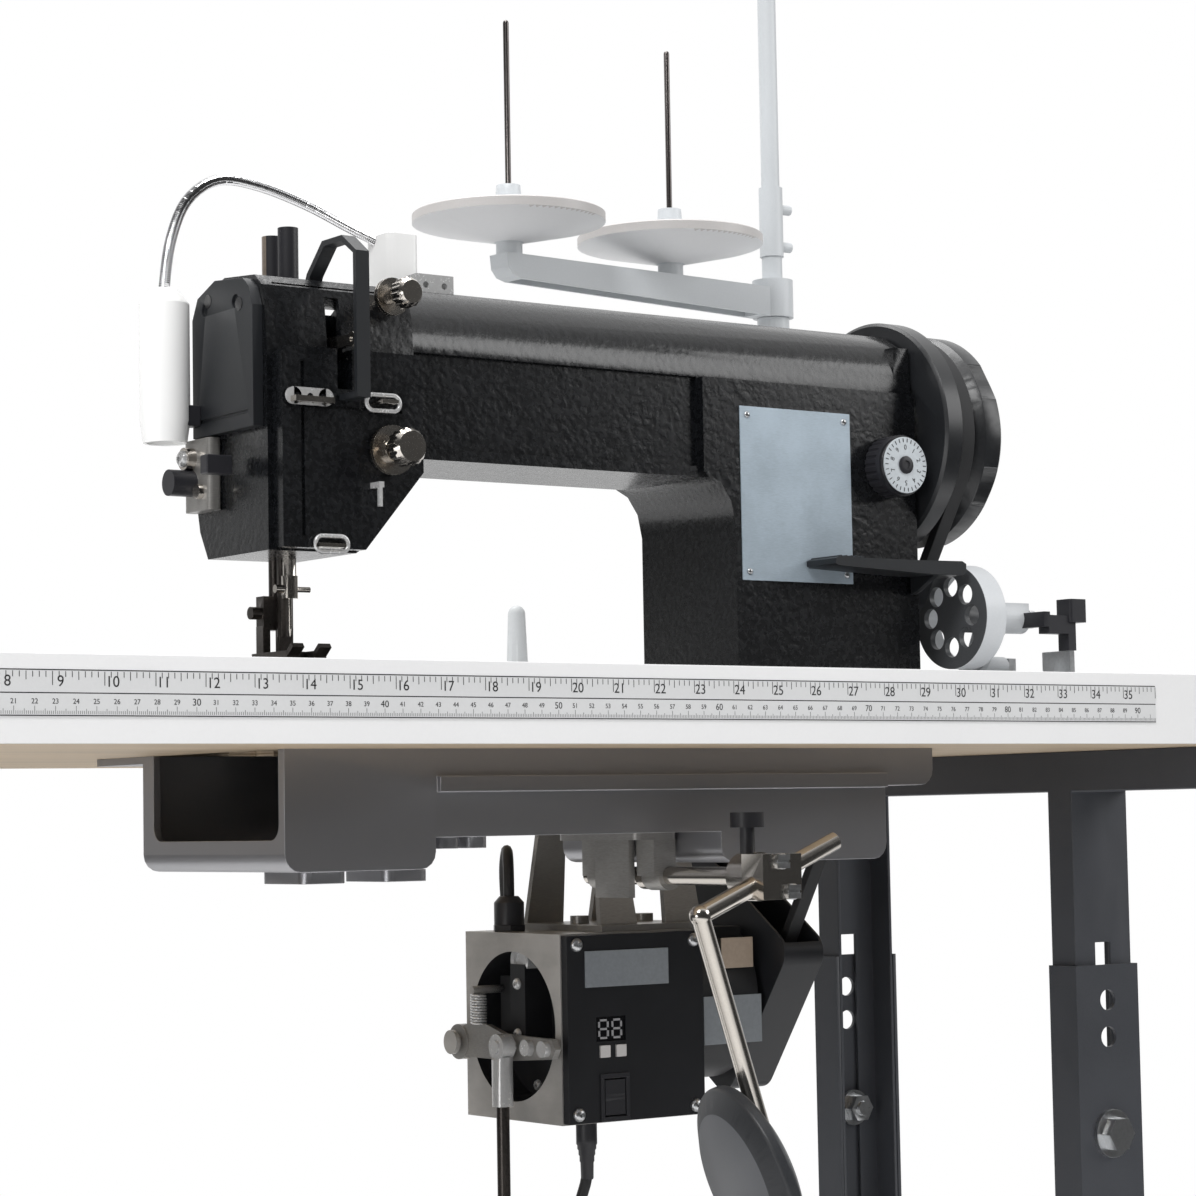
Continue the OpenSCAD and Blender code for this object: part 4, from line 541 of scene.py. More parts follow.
def merged_copy(node: str) -> BMesh:
    """A CAD node's mesh with its loose triangles joined and its flat faces made whole."""
    bm = bmesh.new()
    bm.from_mesh(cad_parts[node].data)
    bmesh.ops.remove_doubles(bm, verts=bm.verts, dist=WELD)
    bmesh.ops.dissolve_degenerate(bm, edges=bm.edges, dist=SLIVER)
    bmesh.ops.dissolve_limit(bm, angle_limit=math.radians(FLAT_DEG), verts=bm.verts, edges=bm.edges)
    return bm


def skin(
    node: str,
    body: Body,
    finish: Finish,
    bevel: float = 0.6,
    segments: int = 2,
    angle: float = BEVEL_DEG,
) -> Object:
    """Dresses one CAD node: a joined copy with rounded edges that stands for it."""
    obj = as_object(node + "_skin", merged_copy(node), finish)
    bevelled(obj, bevel, segments, angle)
    return fitted(obj, body, [node])


def coloured(obj: Object, finish: Finish, holds: Callable[[Vector], bool]) -> None:
    """Gives another finish to the faces whose middles, in millimetres over the table, pass a test."""
    obj.data.materials.append(finish.build())
    origin = row(0, 0, 0)
    for face in obj.data.polygons:
        if holds((face.center - origin) / MM):
            face.material_index = len(obj.data.materials) - 1


def within(low: Point, high: Point) -> Callable[[Vector], bool]:
    """A test for points inside a box."""
    return lambda p: all(a <= c <= b for a, c, b in zip(low, p, high))


def extra(name: str, bm: BMesh, finish: Finish, body: Body, bevel: float = 0.0) -> Object:
    """A small piece that the CAD nodes do not hold."""
    return fitted(bevelled(as_object(name, bm, finish), bevel), body)


def slab(low: Point, high: Point) -> BMesh:
    """A box between two corners in millimetres over the table."""
    return block(row(*low), row(*high))


def evenly(path: Sequence[Vector], gap: float) -> list[Vector]:
    """Points every gap metres along a path."""
    out, left = [path[0]], gap
    for a, b in zip(path, path[1:]):
        span = (b - a).length
        while span > left:
            a = a + (b - a) * (left / span)
            span = (b - a).length
            out.append(a)
            left = gap
        left -= span
    return out


def lathe(profile: Profile, sides: int) -> BMesh:
    """A closed body turned round Z.

    Args:
        profile: (radius, height) pairs in millimetres, from the bottom to the top; the ends are closed.
        sides: faces round the axis.

    Returns:
        The bmesh, in metres, round the origin.
    """
    bm = bmesh.new()
    rings: list[list[bmesh.types.BMVert]] = []
    for radius, height in profile:
        if not radius:
            rings.append([bm.verts.new((0, 0, height * MM))])
            continue
        turns = [2 * math.pi * k / sides for k in range(sides)]
        spots = [(radius * MM * math.cos(a), radius * MM * math.sin(a), height * MM) for a in turns]
        rings.append([bm.verts.new(spot) for spot in spots])
    for low, high in zip(rings, rings[1:]):
        for k in range(sides):
            j = (k + 1) % sides
            corners = [low[k % len(low)], low[j % len(low)], high[j % len(high)], high[k % len(high)]]
            unique = list(dict.fromkeys(corners))
            if len(unique) > 2:
                bm.faces.new(unique)
    for ring in (rings[0], rings[-1]):
        if len(ring) > 2:
            bm.faces.new(ring)
    bmesh.ops.recalc_face_normals(bm, faces=bm.faces)
    return bm


def aim(at: Vector, along: Sequence[float]) -> Matrix:
    """A matrix that turns +Z to a direction and moves the origin to a point."""
    return Matrix.Translation(at) @ Vector(along).normalized().to_track_quat("Z", "Y").to_matrix().to_4x4()


def turned(profile: Profile, at: Vector, along: Sequence[float], sides: int) -> BMesh:
    """A turned body set on an axis."""
    bm = lathe(profile, sides)
    bm.transform(aim(at, along))
    return bm


def disc(radius: float, low: float, high: float, at: Vector, along: Sequence[float], sides: int) -> BMesh:
    """A flat round body on an axis."""
    return turned([(radius, low), (radius, high), (0.0, high)], at, along, sides)


def block(low: Vector, high: Vector) -> BMesh:
    """A box between two corners."""
    bm = bmesh.new()
    bmesh.ops.create_cube(bm, size=1.0)
    size = high - low
    bm.transform(Matrix.Translation((low + high) / 2) @ Matrix.Diagonal((*size, 1.0)))
    return bm


def join(parts: Iterable[BMesh]) -> BMesh:
    """Several bmeshes in one."""
    out = bmesh.new()
    for part in parts:
        mesh = bpy.data.meshes.new("part")
        part.to_mesh(mesh)
        part.free()
        out.from_mesh(mesh)
        bpy.data.meshes.remove(mesh)
    return out


def smooth_path(points: Sequence[Vector], steps: int) -> list[Vector]:
    """Points on a smooth curve through the given ones."""
    out: list[Vector] = []
    last = len(points) - 1
    for i in range(last):
        a, b, c, d = points[max(i - 1, 0)], points[i], points[i + 1], points[min(i + 2, last)]
        for k in range(steps):
            t = k / steps
            bend, twist = 2 * a - 5 * b + 4 * c - d, 3 * b - a - 3 * c + d
            out.append(0.5 * (2 * b + (c - a) * t + bend * t * t + twist * t**3))
    out.append(points[last])
    return out


def tube(path: Sequence[Vector], radius_mm: float, sides: int, radii: Sequence[float] = ()) -> BMesh:
    """A round tube along a path, closed at both ends, with the least twist."""
    bm = bmesh.new()
    last = len(path) - 1
    side = None
    rings: list[list[bmesh.types.BMVert]] = []
    for i, point in enumerate(path):
        ahead = (path[min(i + 1, last)] - path[max(i - 1, 0)]).normalized()
        if side is None:
            side = ahead.orthogonal().normalized()
        side = (side - ahead * side.dot(ahead)).normalized()
        up = ahead.cross(side)
        r = (radii[i] if radii else radius_mm) * MM
        turns = [2 * math.pi * k / sides for k in range(sides)]
        rings.append([bm.verts.new(point + (side * math.cos(a) + up * math.sin(a)) * r) for a in turns])
    for low, high in zip(rings, rings[1:]):
        for k in range(sides):
            j = (k + 1) % sides
            bm.faces.new((low[k], low[j], high[j], high[k]))
    bm.faces.new(list(reversed(rings[0])))
    bm.faces.new(rings[-1])
    bmesh.ops.recalc_face_normals(bm, faces=bm.faces)
    return bm


def printed(text: str, size_mm: float, name: str, place: Matrix) -> Object:
    """Makes a plain number in ink, centred on its origin before it is placed."""
    curve = bpy.data.curves.new(name, "FONT")
    curve.body = text
    curve.size = size_mm * MM
    curve.align_x = "CENTER"
    curve.align_y = "CENTER"
    curve.extrude = INK_THICK
    made = linked(name, curve)
    bpy.context.view_layer.update()
    mesh = bpy.data.meshes.new_from_object(made)
    bpy.data.objects.remove(made)
    mesh.transform(place)
    mesh.materials.clear()
    mesh.materials.append(INK.build())
    return linked(name, mesh)


# ---------------------------------------------------------------- geometry nodes


class Grower:
    """A Geometry Nodes tree under construction, with named inputs."""

    def __init__(self, name: str, **kinds: str) -> None:
        """Makes an empty tree with a geometry input and output, a material and the named inputs."""
        self.tree = bpy.data.node_groups.new(name, "GeometryNodeTree")
        self.tree.interface.new_socket("Geometry", in_out="OUTPUT", socket_type="NodeSocketGeometry")
        for key, kind in {"Geometry": "Geometry", **kinds, "Material": "Material"}.items():
            self.tree.interface.new_socket(key, in_out="INPUT", socket_type="NodeSocket" + kind)
        self.source = self.tree.nodes.new("NodeGroupInput")
        self.sink = self.tree.nodes.new("NodeGroupOutput")

    def get(self, name: str) -> Socket:
        """The socket of a named input."""
        return self.source.outputs[name]

    def node(self, kind: str, settings: Settings = None, **inputs: Any) -> Node:
        """Adds a node; an underscore inside an input's name stands for a space."""
        named = {key.rstrip("_").replace("_", " "): value for key, value in inputs.items()}
        return add_node(self.tree, kind, settings, named)

    def copies(self, points: Node, model: Socket, scale: Socket, turn: Node | None = None) -> Socket:
        """A model on each point, scaled and, where a turn is given, turned."""
        inputs = {"Points": points.outputs[0], "Instance": model, "Scale": scale}
        if turn is not None:
            inputs["Rotation"] = turn.outputs[0]
        return add_node(self.tree, "GeometryNodeInstanceOnPoints", {}, inputs).outputs[0]

    def maths(self, operation: str, a: Any, b: Any) -> Socket:
        """One Math node on two terms."""
        return add_node(self.tree, "ShaderNodeMath", {"operation": operation}, {0: a, 1: b}).outputs[0]

    def placed(self, geometry: Socket) -> Tree:
        """Moves the geometry by the inputs Place and Turn and ends the tree."""
        turn = add_node(self.tree, "FunctionNodeEulerToRotation", {}, {0: self.get("Turn")})
        inputs = {"Geometry": geometry, "Translation": self.get("Place"), "Rotation": turn.outputs[0]}
        return self.close(self.node("GeometryNodeTransform", **inputs).outputs[0])

    def close(self, geometry: Socket) -> Tree:
        """Ends the tree in Realize Instances and Set Material."""
        real = self.node("GeometryNodeRealizeInstances", Geometry=geometry)
        worn = self.node("GeometryNodeSetMaterial", Geometry=real.outputs[0], Material=self.get("Material"))
        self.tree.links.new(worn.outputs[0], self.sink.inputs[0])
        return self.tree


def grown(
    name: str,
    tree: Tree,
    values: dict[str, Any],
    points: Sequence[Vector] = (Vector((0, 0, 0)),),
    facings: Sequence[Sequence[float]] = (),
) -> Object:
    """Runs a tree on a cloud of points and keeps the result as a plain mesh.

    Args:
        name: the piece's name.
        tree: the Geometry Nodes tree.
        values: the tree's named inputs.
        points: where instances go; one at the origin unless said.
        facings: the direction each instance looks in.

    Returns:
        The new object, without a modifier.
    """
    mesh = bpy.data.meshes.new(name)
    mesh.from_pydata([tuple(p) for p in points], [], [])
    if facings:
        layer = mesh.attributes.new("facing", "FLOAT_VECTOR", "POINT")
        layer.data.foreach_set("vector", [c for f in facings for c in f])
    obj = linked(name, mesh)
    mod = obj.modifiers.new("grow", "NODES")
    mod.node_group = tree
    for item in tree.interface.items_tree:
        if item.in_out == "INPUT" and item.name in values:
            mod[item.identifier] = values[item.name]
    baked(obj)
    smoothed(obj.data)
    return obj


@cache
def heads_tree() -> Tree:
    """A tree that sets a copy of one head on each point, turned to that point's facing."""
    g = Grower("set_heads", Head="Object", Size="Float")
    head = g.node("GeometryNodeObjectInfo", {"transform_space": "ORIGINAL"}, Object=g.get("Head"))
    facing = g.node("GeometryNodeInputNamedAttribute", {"data_type": "FLOAT_VECTOR"}, Name="facing")
    turn = g.node("FunctionNodeAlignRotationToVector", {"axis": "Z"}, Vector=facing.outputs["Attribute"])
    return g.close(g.copies(g.source, head.outputs["Geometry"], g.get("Size"), turn))


@cache
def ticks_tree() -> Tree:
    """A tree that lays a row of marks along X, every so many of them longer."""
    floats = dict.fromkeys(("Pitch", "Width", "Down", "Short", "Middle", "Long"), "Float")
    g = Grower("lay_ticks", Start="Vector", Count="Int", Half="Int", Period="Int", **floats)
    count, start = g.get("Count"), g.get("Start")
    step = g.node("ShaderNodeCombineXYZ", X=g.get("Pitch"))
    line = g.node("GeometryNodeMeshLine", Count=count, Start_Location=start, Offset=step.outputs[0])
    index = g.node("GeometryNodeInputIndex").outputs[0]

    def every(period: str, long: Socket, other: Socket) -> Socket:
        """Switches to a longer mark where the index is a multiple of the period."""
        hit = g.maths("LESS_THAN", g.maths("MODULO", index, g.get(period)), 0.5)
        switch = g.node("GeometryNodeSwitch", {"input_type": "FLOAT"}, Switch=hit, False_=other, True_=long)
        return switch.outputs[0]

    length = every("Period", g.get("Long"), every("Half", g.get("Middle"), g.get("Short")))
    size = g.node("ShaderNodeCombineXYZ", X=g.get("Width"), Y=TICK_THICK, Z=length)
    shift = g.node("ShaderNodeCombineXYZ", Z=g.maths("MULTIPLY", length, g.get("Down")))
    cube = g.node("GeometryNodeMeshCube", Size=(1.0, 1.0, 1.0))
    moved = g.node("GeometryNodeSetPosition", Geometry=line.outputs[0], Offset=shift.outputs[0])
    return g.close(g.copies(moved, cube.outputs[0], size.outputs[0]))


@cache
def coil_tree() -> Tree:
    """A tree that winds a round wire into a straight helix along Z."""
    floats = dict.fromkeys(("Turns", "Radius", "Height", "Wire"), "Float")
    g = Grower("wind_coil", Place="Vector", Turn="Vector", Resolution="Int", **floats)
    helix = g.node(
        "GeometryNodeCurveSpiral",
        Resolution=g.get("Resolution"),
        Rotations=g.get("Turns"),
        Start_Radius=g.get("Radius"),
        End_Radius=g.get("Radius"),
        Height=g.get("Height"),
    )
    ring = g.node("GeometryNodeCurvePrimitiveCircle", Resolution=8, Radius=g.get("Wire"))
    curve, profile = helix.outputs[0], ring.outputs[0]
    wire = g.node("GeometryNodeCurveToMesh", Curve=curve, Profile_Curve=profile, Fill_Caps=True)
    return g.placed(wire.outputs[0])


@cache
def ring_tree() -> Tree:
    """A tree that sets bars round a circle, for the marks of a dial."""
    g = Grower("ring_of_bars", Count="Int", Radius="Float", Place="Vector", Turn="Vector", Bar="Vector")
    circle = g.node("GeometryNodeMeshCircle", Vertices=g.get("Count"), Radius=g.get("Radius"))
    position = g.node("GeometryNodeInputPosition")
    turn = g.node("FunctionNodeAlignRotationToVector", {"axis": "X"}, Vector=position.outputs[0])
    cube = g.node("GeometryNodeMeshCube", Size=(1.0, 1.0, 1.0))
    return g.placed(g.copies(circle, cube.outputs[0], g.get("Bar"), turn))


class HeadKind(Enum):
    """The kinds of fastener head on the machine."""

    PAN_CROSS = "pan_cross"
    CHEESE_SLOT = "cheese_slot"
    RIVET = "rivet"


# (radius, height) pairs of each head, for a radius of 1 mm
HEAD_PROFILES = {
    HeadKind.PAN_CROSS: [
        (1.0, -0.2), (1.0, 0.15), (0.9, 0.4), (0.62, 0.62), (0.34, 0.68), (0.3, 0.3), (0.0, 0.25),
    ],
    HeadKind.CHEESE_SLOT: [(1.0, -0.2), (1.0, 0.45), (0.9, 0.55), (0.0, 0.55)],
    HeadKind.RIVET: [(1.0, -0.15), (1.0, 0.1), (0.85, 0.4), (0.5, 0.62), (0.0, 0.7)],
}


@dataclass(frozen=True)
class Fasteners:
    """Screw or rivet heads of one kind: their radius in millimetres, finish, body, slot and facing; the slot
    is not used.
    """

    kind: HeadKind
    size_mm: float
    finish: Finish
    body: Body
    slot: str
    facing: Point = FRONT

    @staticmethod
    @cache
    def model(kind: HeadKind) -> Object:
        """The hidden model of one head, 1 mm in radius, standing on Z = 0."""
        bm = lathe(HEAD_PROFILES[kind], HEAD_SIDES)
        if kind is HeadKind.CHEESE_SLOT:
            lips = [
                block(Vector((-0.95, low, 0.5)) * MM, Vector((0.95, high, 0.72)) * MM)
                for low, high in ((0.16, 0.85), (-0.85, -0.16))
            ]
            bm = join([bm, *lips])
        obj = as_object("head_model_" + kind.value, bm, ZINC)
        bpy.context.scene.collection.objects.unlink(obj)
        return obj

    def set(self, name: str, points: Sequence[Vector]) -> None:
        """Sets one head on each point and keeps them as one piece."""
        values = {"Head": self.model(self.kind), "Material": self.finish.build(), "Size": self.size_mm}
        heads = grown(name, heads_tree(), values, points, [self.facing] * len(points))
        fitted(heads, self.body)


# ---------------------------------------------------------------- camera and stage


@dataclass(frozen=True)
class CameraView:
    """The main view: where the camera stands and how it is turned, in metres and radians."""

    place: Point = (-0.8245, -1.4974, 0.6924)
    yaw: float = 0.62268
    pitch: float = 0.07176
    roll: float = 0.01759
    lens_mm: float = 92.86
    sensor_mm: float = 36.0

    def build(self) -> None:
        """Makes the camera and its axes from the three angles."""
        level = math.cos(self.pitch)
        ahead = Vector((math.sin(self.yaw) * level, math.cos(self.yaw) * level, math.sin(self.pitch)))
        right = Vector((math.cos(self.yaw), -math.sin(self.yaw), 0.0))
        down = ahead.cross(right)
        across = right * math.cos(self.roll) + down * math.sin(self.roll)
        below = down * math.cos(self.roll) - right * math.sin(self.roll)
        data = bpy.data.cameras.new("main_camera")
        data.lens = self.lens_mm
        data.sensor_width = self.sensor_mm
        data.clip_end = 50.0
        camera = linked("main_camera", data)
        turn = Matrix((across, -below, -ahead)).transposed().to_4x4()
        camera.matrix_world = Matrix.Translation(Vector(self.place)) @ turn
        bpy.context.scene.camera = camera


@dataclass(frozen=True)
class Studio:
    """A white studio: a bright world, large soft lamps and a floor that fades into white."""

    fill: float = 0.62
    dark: float = 0.035
    backdrop: float = 1.0
    floor_radius: float = 2.2
    toward: Point = (-0.35, -0.55, -0.75)
    mirror: tuple[float, float] = (-0.8, -0.08)
    floor_white: float = 0.86

    def lamp(self, name: str, place: Point, at: Point, size: float, power: float) -> Object:
        """One square soft lamp that looks at a point."""
        data = bpy.data.lights.new(name, "AREA")
        data.size = size
        data.energy = power
        obj = linked(name, data)
        look = (Vector(at) - Vector(place)).to_track_quat("-Z", "Y").to_matrix().to_4x4()
        obj.matrix_world = Matrix.Translation(Vector(place)) @ look
        return obj

    def world(self) -> None:
        """White for what the camera sees, darker toward the camera for what shiny faces mirror."""
        world = bpy.data.worlds.new("studio")
        bpy.context.scene.world = world
        world.use_nodes = True
        tree = world.node_tree
        tree.nodes.clear()
        rays = add_node(tree, "ShaderNodeLightPath")
        coords = add_node(tree, "ShaderNodeTexCoord")
        dot = {0: coords.outputs["Generated"], 1: self.toward}
        toward = add_node(tree, "ShaderNodeVectorMath", {"operation": "DOT_PRODUCT"}, dot)
        limits = {"From Min": self.mirror[0], "From Max": self.mirror[1], "To Min": 1.0, "To Max": self.dark}
        smooth = {"interpolation_type": "SMOOTHSTEP"}
        shade = add_node(tree, "ShaderNodeMapRange", smooth, {"Value": toward.outputs["Value"], **limits})
        mirrored = {0: rays.outputs["Is Glossy Ray"], 2: self.fill, 3: shade.outputs[0]}
        level = add_node(tree, "ShaderNodeMix", {"data_type": "FLOAT"}, mirrored)
        shown = {0: rays.outputs["Is Camera Ray"], 2: level.outputs[0], 3: self.backdrop}
        seen = add_node(tree, "ShaderNodeMix", {"data_type": "FLOAT"}, shown)
        white = {"Color": (1.0, 1.0, 1.0, 1.0), "Strength": seen.outputs[0]}
        sky = add_node(tree, "ShaderNodeBackground", {}, white)
        add_node(tree, "ShaderNodeOutputWorld", {}, {0: sky.outputs[0]})

    def ground(self) -> Object:
        """A white floor disc that keeps soft shadows and fades out at its rim."""
        bm = bmesh.new()
        bmesh.ops.create_circle(bm, cap_ends=True, radius=self.floor_radius, segments=96)
        sh = Shader("studio_floor")
        coords = sh.node("ShaderNodeTexCoord")
        far = sh.node("ShaderNodeVectorMath", {"operation": "LENGTH"}, {0: coords.outputs["Object"]})
        rim = Value(sh, far.outputs["Value"]).step(self.floor_radius * 0.45, self.floor_radius * 0.98)
        sh.surface.inputs["Base Color"].default_value = (*[self.floor_white] * 3, 1.0)
        sh.surface.inputs["Roughness"].default_value = 0.9
        feed(sh.tree, sh.surface.inputs["Alpha"], 1.0 - rim)
        mesh = bpy.data.meshes.new("studio_floor")
        bm.to_mesh(mesh)
        bm.free()
        mesh.materials.append(sh.material)
        return linked("studio_floor", mesh)

    def build(self) -> None:
        """Makes the world, the lamps and the floor."""
        self.world()
        pieces = [
            self.lamp("key_lamp", (-1.5, -1.3, 3.0), (0.0, 0.0, 0.8), 1.1, 46.0),
            self.lamp("fill_lamp", (2.3, -1.7, 1.9), (0.2, 0.0, 0.7), 1.2, 16.0),
            self.lamp("top_lamp", (0.2, 0.5, 2.9), (0.0, 0.0, 0.8), 1.4, 34.0),
            self.lamp("low_lamp", (-2.4, -0.9, 0.5), (0.1, 0.0, 0.55), 0.9, 8.0),
            self.ground(),
        ]
        bpy.context.scene.view_settings.view_transform = "Standard"


# ---------------------------------------------------------------- the mains lead


@dataclass(frozen=True)
class MainsLead:
    """The lead from the control box to the floor: its drop, its coil and its plug."""

    diameter: float = 7.0
    coil_x: float = 405.0
    coil_y: float = 96.0
    coil_outer: float = 41.5
    coil_pitch: float = 7.1
    floor_z: float = 3.6
    drop: tuple[Point, ...] = (
        (285, 70, 496.5), (285, 70, 474.5), (279, 76, 444.5), (273, 90, 380), (275, 104, 290),
        (283, 108, 200), (293, 104, 110), (303, 86, 46), (323, 70, 14), (347, 57, 4.5),
        (363, 54.5, 3.6), (379, 54.5, 3.6),
    )
    # each entry: an angle in degrees, whether the wind is an outer one, its level in coil pitches
    turns: tuple[tuple[float, bool, float], ...] = (
        (-90, True, 0), (20, False, 0), (225, False, 0), (300, False, 1), (585, False, 1),
        (660, False, 2), (880, False, 2), (990, True, 2), (1230, True, 2), (1305, True, 1),
        (1590, True, 1), (1665, True, 0), (1800, True, 0),
    )
    relief: tuple[tuple[float, float], ...] = (
        (6.5, -0.2), (6.5, 3.0), (5.9, 4.0), (5.9, 6.0), (5.2, 7.0), (5.2, 9.5), (4.6, 10.5),
        (4.6, 13.5), (4.1, 14.5), (3.9, 24.0), (3.52, 24.6),
    )

    def coil(self) -> list[Vector]:
        """The wound part: in along the floor, up inside, out at the top and back down outside."""
        inner = self.coil_outer - self.coil_pitch
        keys = [(angle, self.coil_outer if outer else inner, level) for angle, outer, level in self.turns]
        out = []
        for (a, r0, l0), (b, r1, l1) in zip(keys, keys[1:]):
            steps = max(3, round((b - a) / 9.0))
            for k in range(steps):
                t = k / steps
                ease = t * t * (3 - 2 * t)
                angle = math.radians(a + (b - a) * t)
                radius = r0 + (r1 - r0) * ease
                level = self.floor_z + (l0 + (l1 - l0) * ease) * self.coil_pitch
                x, y = self.coil_x + radius * math.cos(angle), self.coil_y + radius * math.sin(angle)
                out.append(floor(x, y, level))
        out += [floor(self.coil_x + self.coil_outer, self.coil_y + on, self.floor_z) for on in (0, 13, 30)]
        return out

    def build(self) -> None:
        """Makes the lead, its strain relief, its tie and its plug."""
        line = smooth_path([floor(*p) for p in self.drop], 4)
        line += [floor(390, 54.5, self.floor_z)] + self.coil()
        length = sum((b - a).length for a, b in zip(line, line[1:]))
        lead = as_object("mains_lead", tube(line, self.diameter / 2, 14), CABLE, 60)
        fitted(lead, Body.TABLE, ["power_cord", "power_coil"])
        x, y, z = self.drop[0]
        boot = turned(self.relief, floor(x, y, z), (0, 0, -1), 32)
        relief = extra("lead_relief", boot, BLACK_PLASTIC, Body.TABLE)
        band = block(floor(359, 88.5, 0.3), floor(375, 91.5, 21.9))
        tie = extra("lead_tie", band, BLACK_PLASTIC, Body.TABLE, 1.2)
        plug = skin("power_plug", Body.TABLE, BLACK_PLASTIC, 0.5)
        tuple(floor(x, y, z))
        log.info("mains lead is %.3f m long", length)


# ---------------------------------------------------------------- sub-assemblies


class Stand:
    """The legs, floor rails, hardware and the treadle with its rods."""

    bright_from: float = -247.0

    def build(self) -> None:
        """Dresses the stand's solids."""
        skin("lower_frames", Body.STAND, STAND_PAINT, 0.7)
        skin("upper_frames", Body.TABLE, STAND_PAINT, 0.7)
        skin("treadle_support", Body.STAND, STAND_PAINT, 0.6)
        skin("leg_hardware", Body.STAND, ZINC, 0.5)
        skin("treadle", Body.TREADLE, TREADLE_PAINT, 0.8)
        skin("pitman_tube", Body.PITMAN_TUBE, STEEL, 0.3)
        rod = skin("pitman_rod", Body.PITMAN_ROD, BURNT, 0.3)
        coloured(rod, BRIGHT, lambda p: p.z > self.bright_from)


@dataclass(frozen=True)
class RulerStrip:
    """The printed ruler on the table's front edge: inches above, centimetres below."""

    left: float = -457.2
    length: float = 914.4
    top: float = -7.0
    height: float = 21.0
    front: float = -254.6
    inch: float = 25.4

    def ticks(
        self,
        name: str,
        count: int,
        pitch: float,
        sizes: Point,
        periods: tuple[int, int],
        edge: float,
        down: float,
        width: float,
    ) -> None:
        """Lays one row of marks along an edge.

        Args:
            name: the piece's name.
            count: how many marks.
            pitch: their spacing.
            sizes: the short, middle and long marks' lengths.
            periods: how often a middle and a long mark come.
            edge: the height that they start from.
            down: -0.5 for marks that hang from the edge, 0.5 for marks that stand on it.
            width: a mark's width.
        """
        marks = grown(
            name,
            ticks_tree(),
            {
                "Count": count,
                "Pitch": pitch * MM,
                "Start": tuple(row(self.left, self.front - 0.02, edge)),
                "Width": width * MM,
                "Short": sizes[0] * MM,
                "Middle": sizes[1] * MM,
                "Long": sizes[2] * MM,
                "Half": periods[0],
                "Period": periods[1],
                "Down": down,
                "Material": INK.build(),
            },
        )
        fitted(marks, Body.TABLE)

    def number(self, text: str, x: float, z: float, size: float, name: str) -> None:
        """Prints one plain number, centred on a place."""
        upright = Matrix.Translation(row(x, self.front - 0.03, z)) @ Matrix.Rotation(math.pi / 2, 4, "X")
        fitted(printed(text, size, name, upright), Body.TABLE)

    def build(self) -> None:
        """Makes the strip, its edge lines, its ticks and its numbers."""
        skin("ruler_strip", Body.TABLE, TAPE, 0.0)
        inches = round(self.length / self.inch)
        low = self.top - self.height
        eighths, millimetres = inches * 8 + 1, round(self.length) + 1
        self.ticks("inch_ticks", eighths, self.inch / 8, (2.6, 3.8, 6.2), (4, 8), self.top - 1.0, -0.5, 0.32)
        self.ticks("centimetre_ticks", millimetres, 1.0, (1.5, 2.4, 3.6), (5, 10), low + 1.0, 0.5, 0.16)
        for k in range(1, inches):
            self.number(str(k), self.left + k * self.inch + 3.9, self.top - 5.6, 7.0, "inch_%d" % k)
        for k in range(1, round(self.length / 10)):
            big = k % 10 == 0
            self.number(str(k), self.left + k * 10, low + 6.6, 4.6 if big else 3.3, "centimetre_%d" % k)
        right = self.left + self.length
        for z in (self.top - 0.4, low + 0.4, self.top - 10.6):
            line = slab((self.left, self.front - 0.03, z - 0.25), (right, self.front, z + 0.25))
            extra("ruler_line", line, INK, Body.TABLE)


class TableTop:
    """The table's plywood core, its white laminate, its ruler and the parts let into it."""

    def build(self) -> None:
        """Dresses the table's solids."""
        skin("table_core", Body.TABLE, PLYWOOD, 0.3)
        skin("table_laminate", Body.TABLE, LAMINATE, 1.6, 3)
        RulerStrip().build()
        skin("drip_pan", Body.TABLE, CAST_PAN, 1.4, 3)
        skin("head_mounts", Body.TABLE, BURNT, 0.4)
        skin("head_rest_post", Body.TABLE, POST, 0.0)
        skin("knee_bracket", Body.TABLE, BRACKET, 0.8)


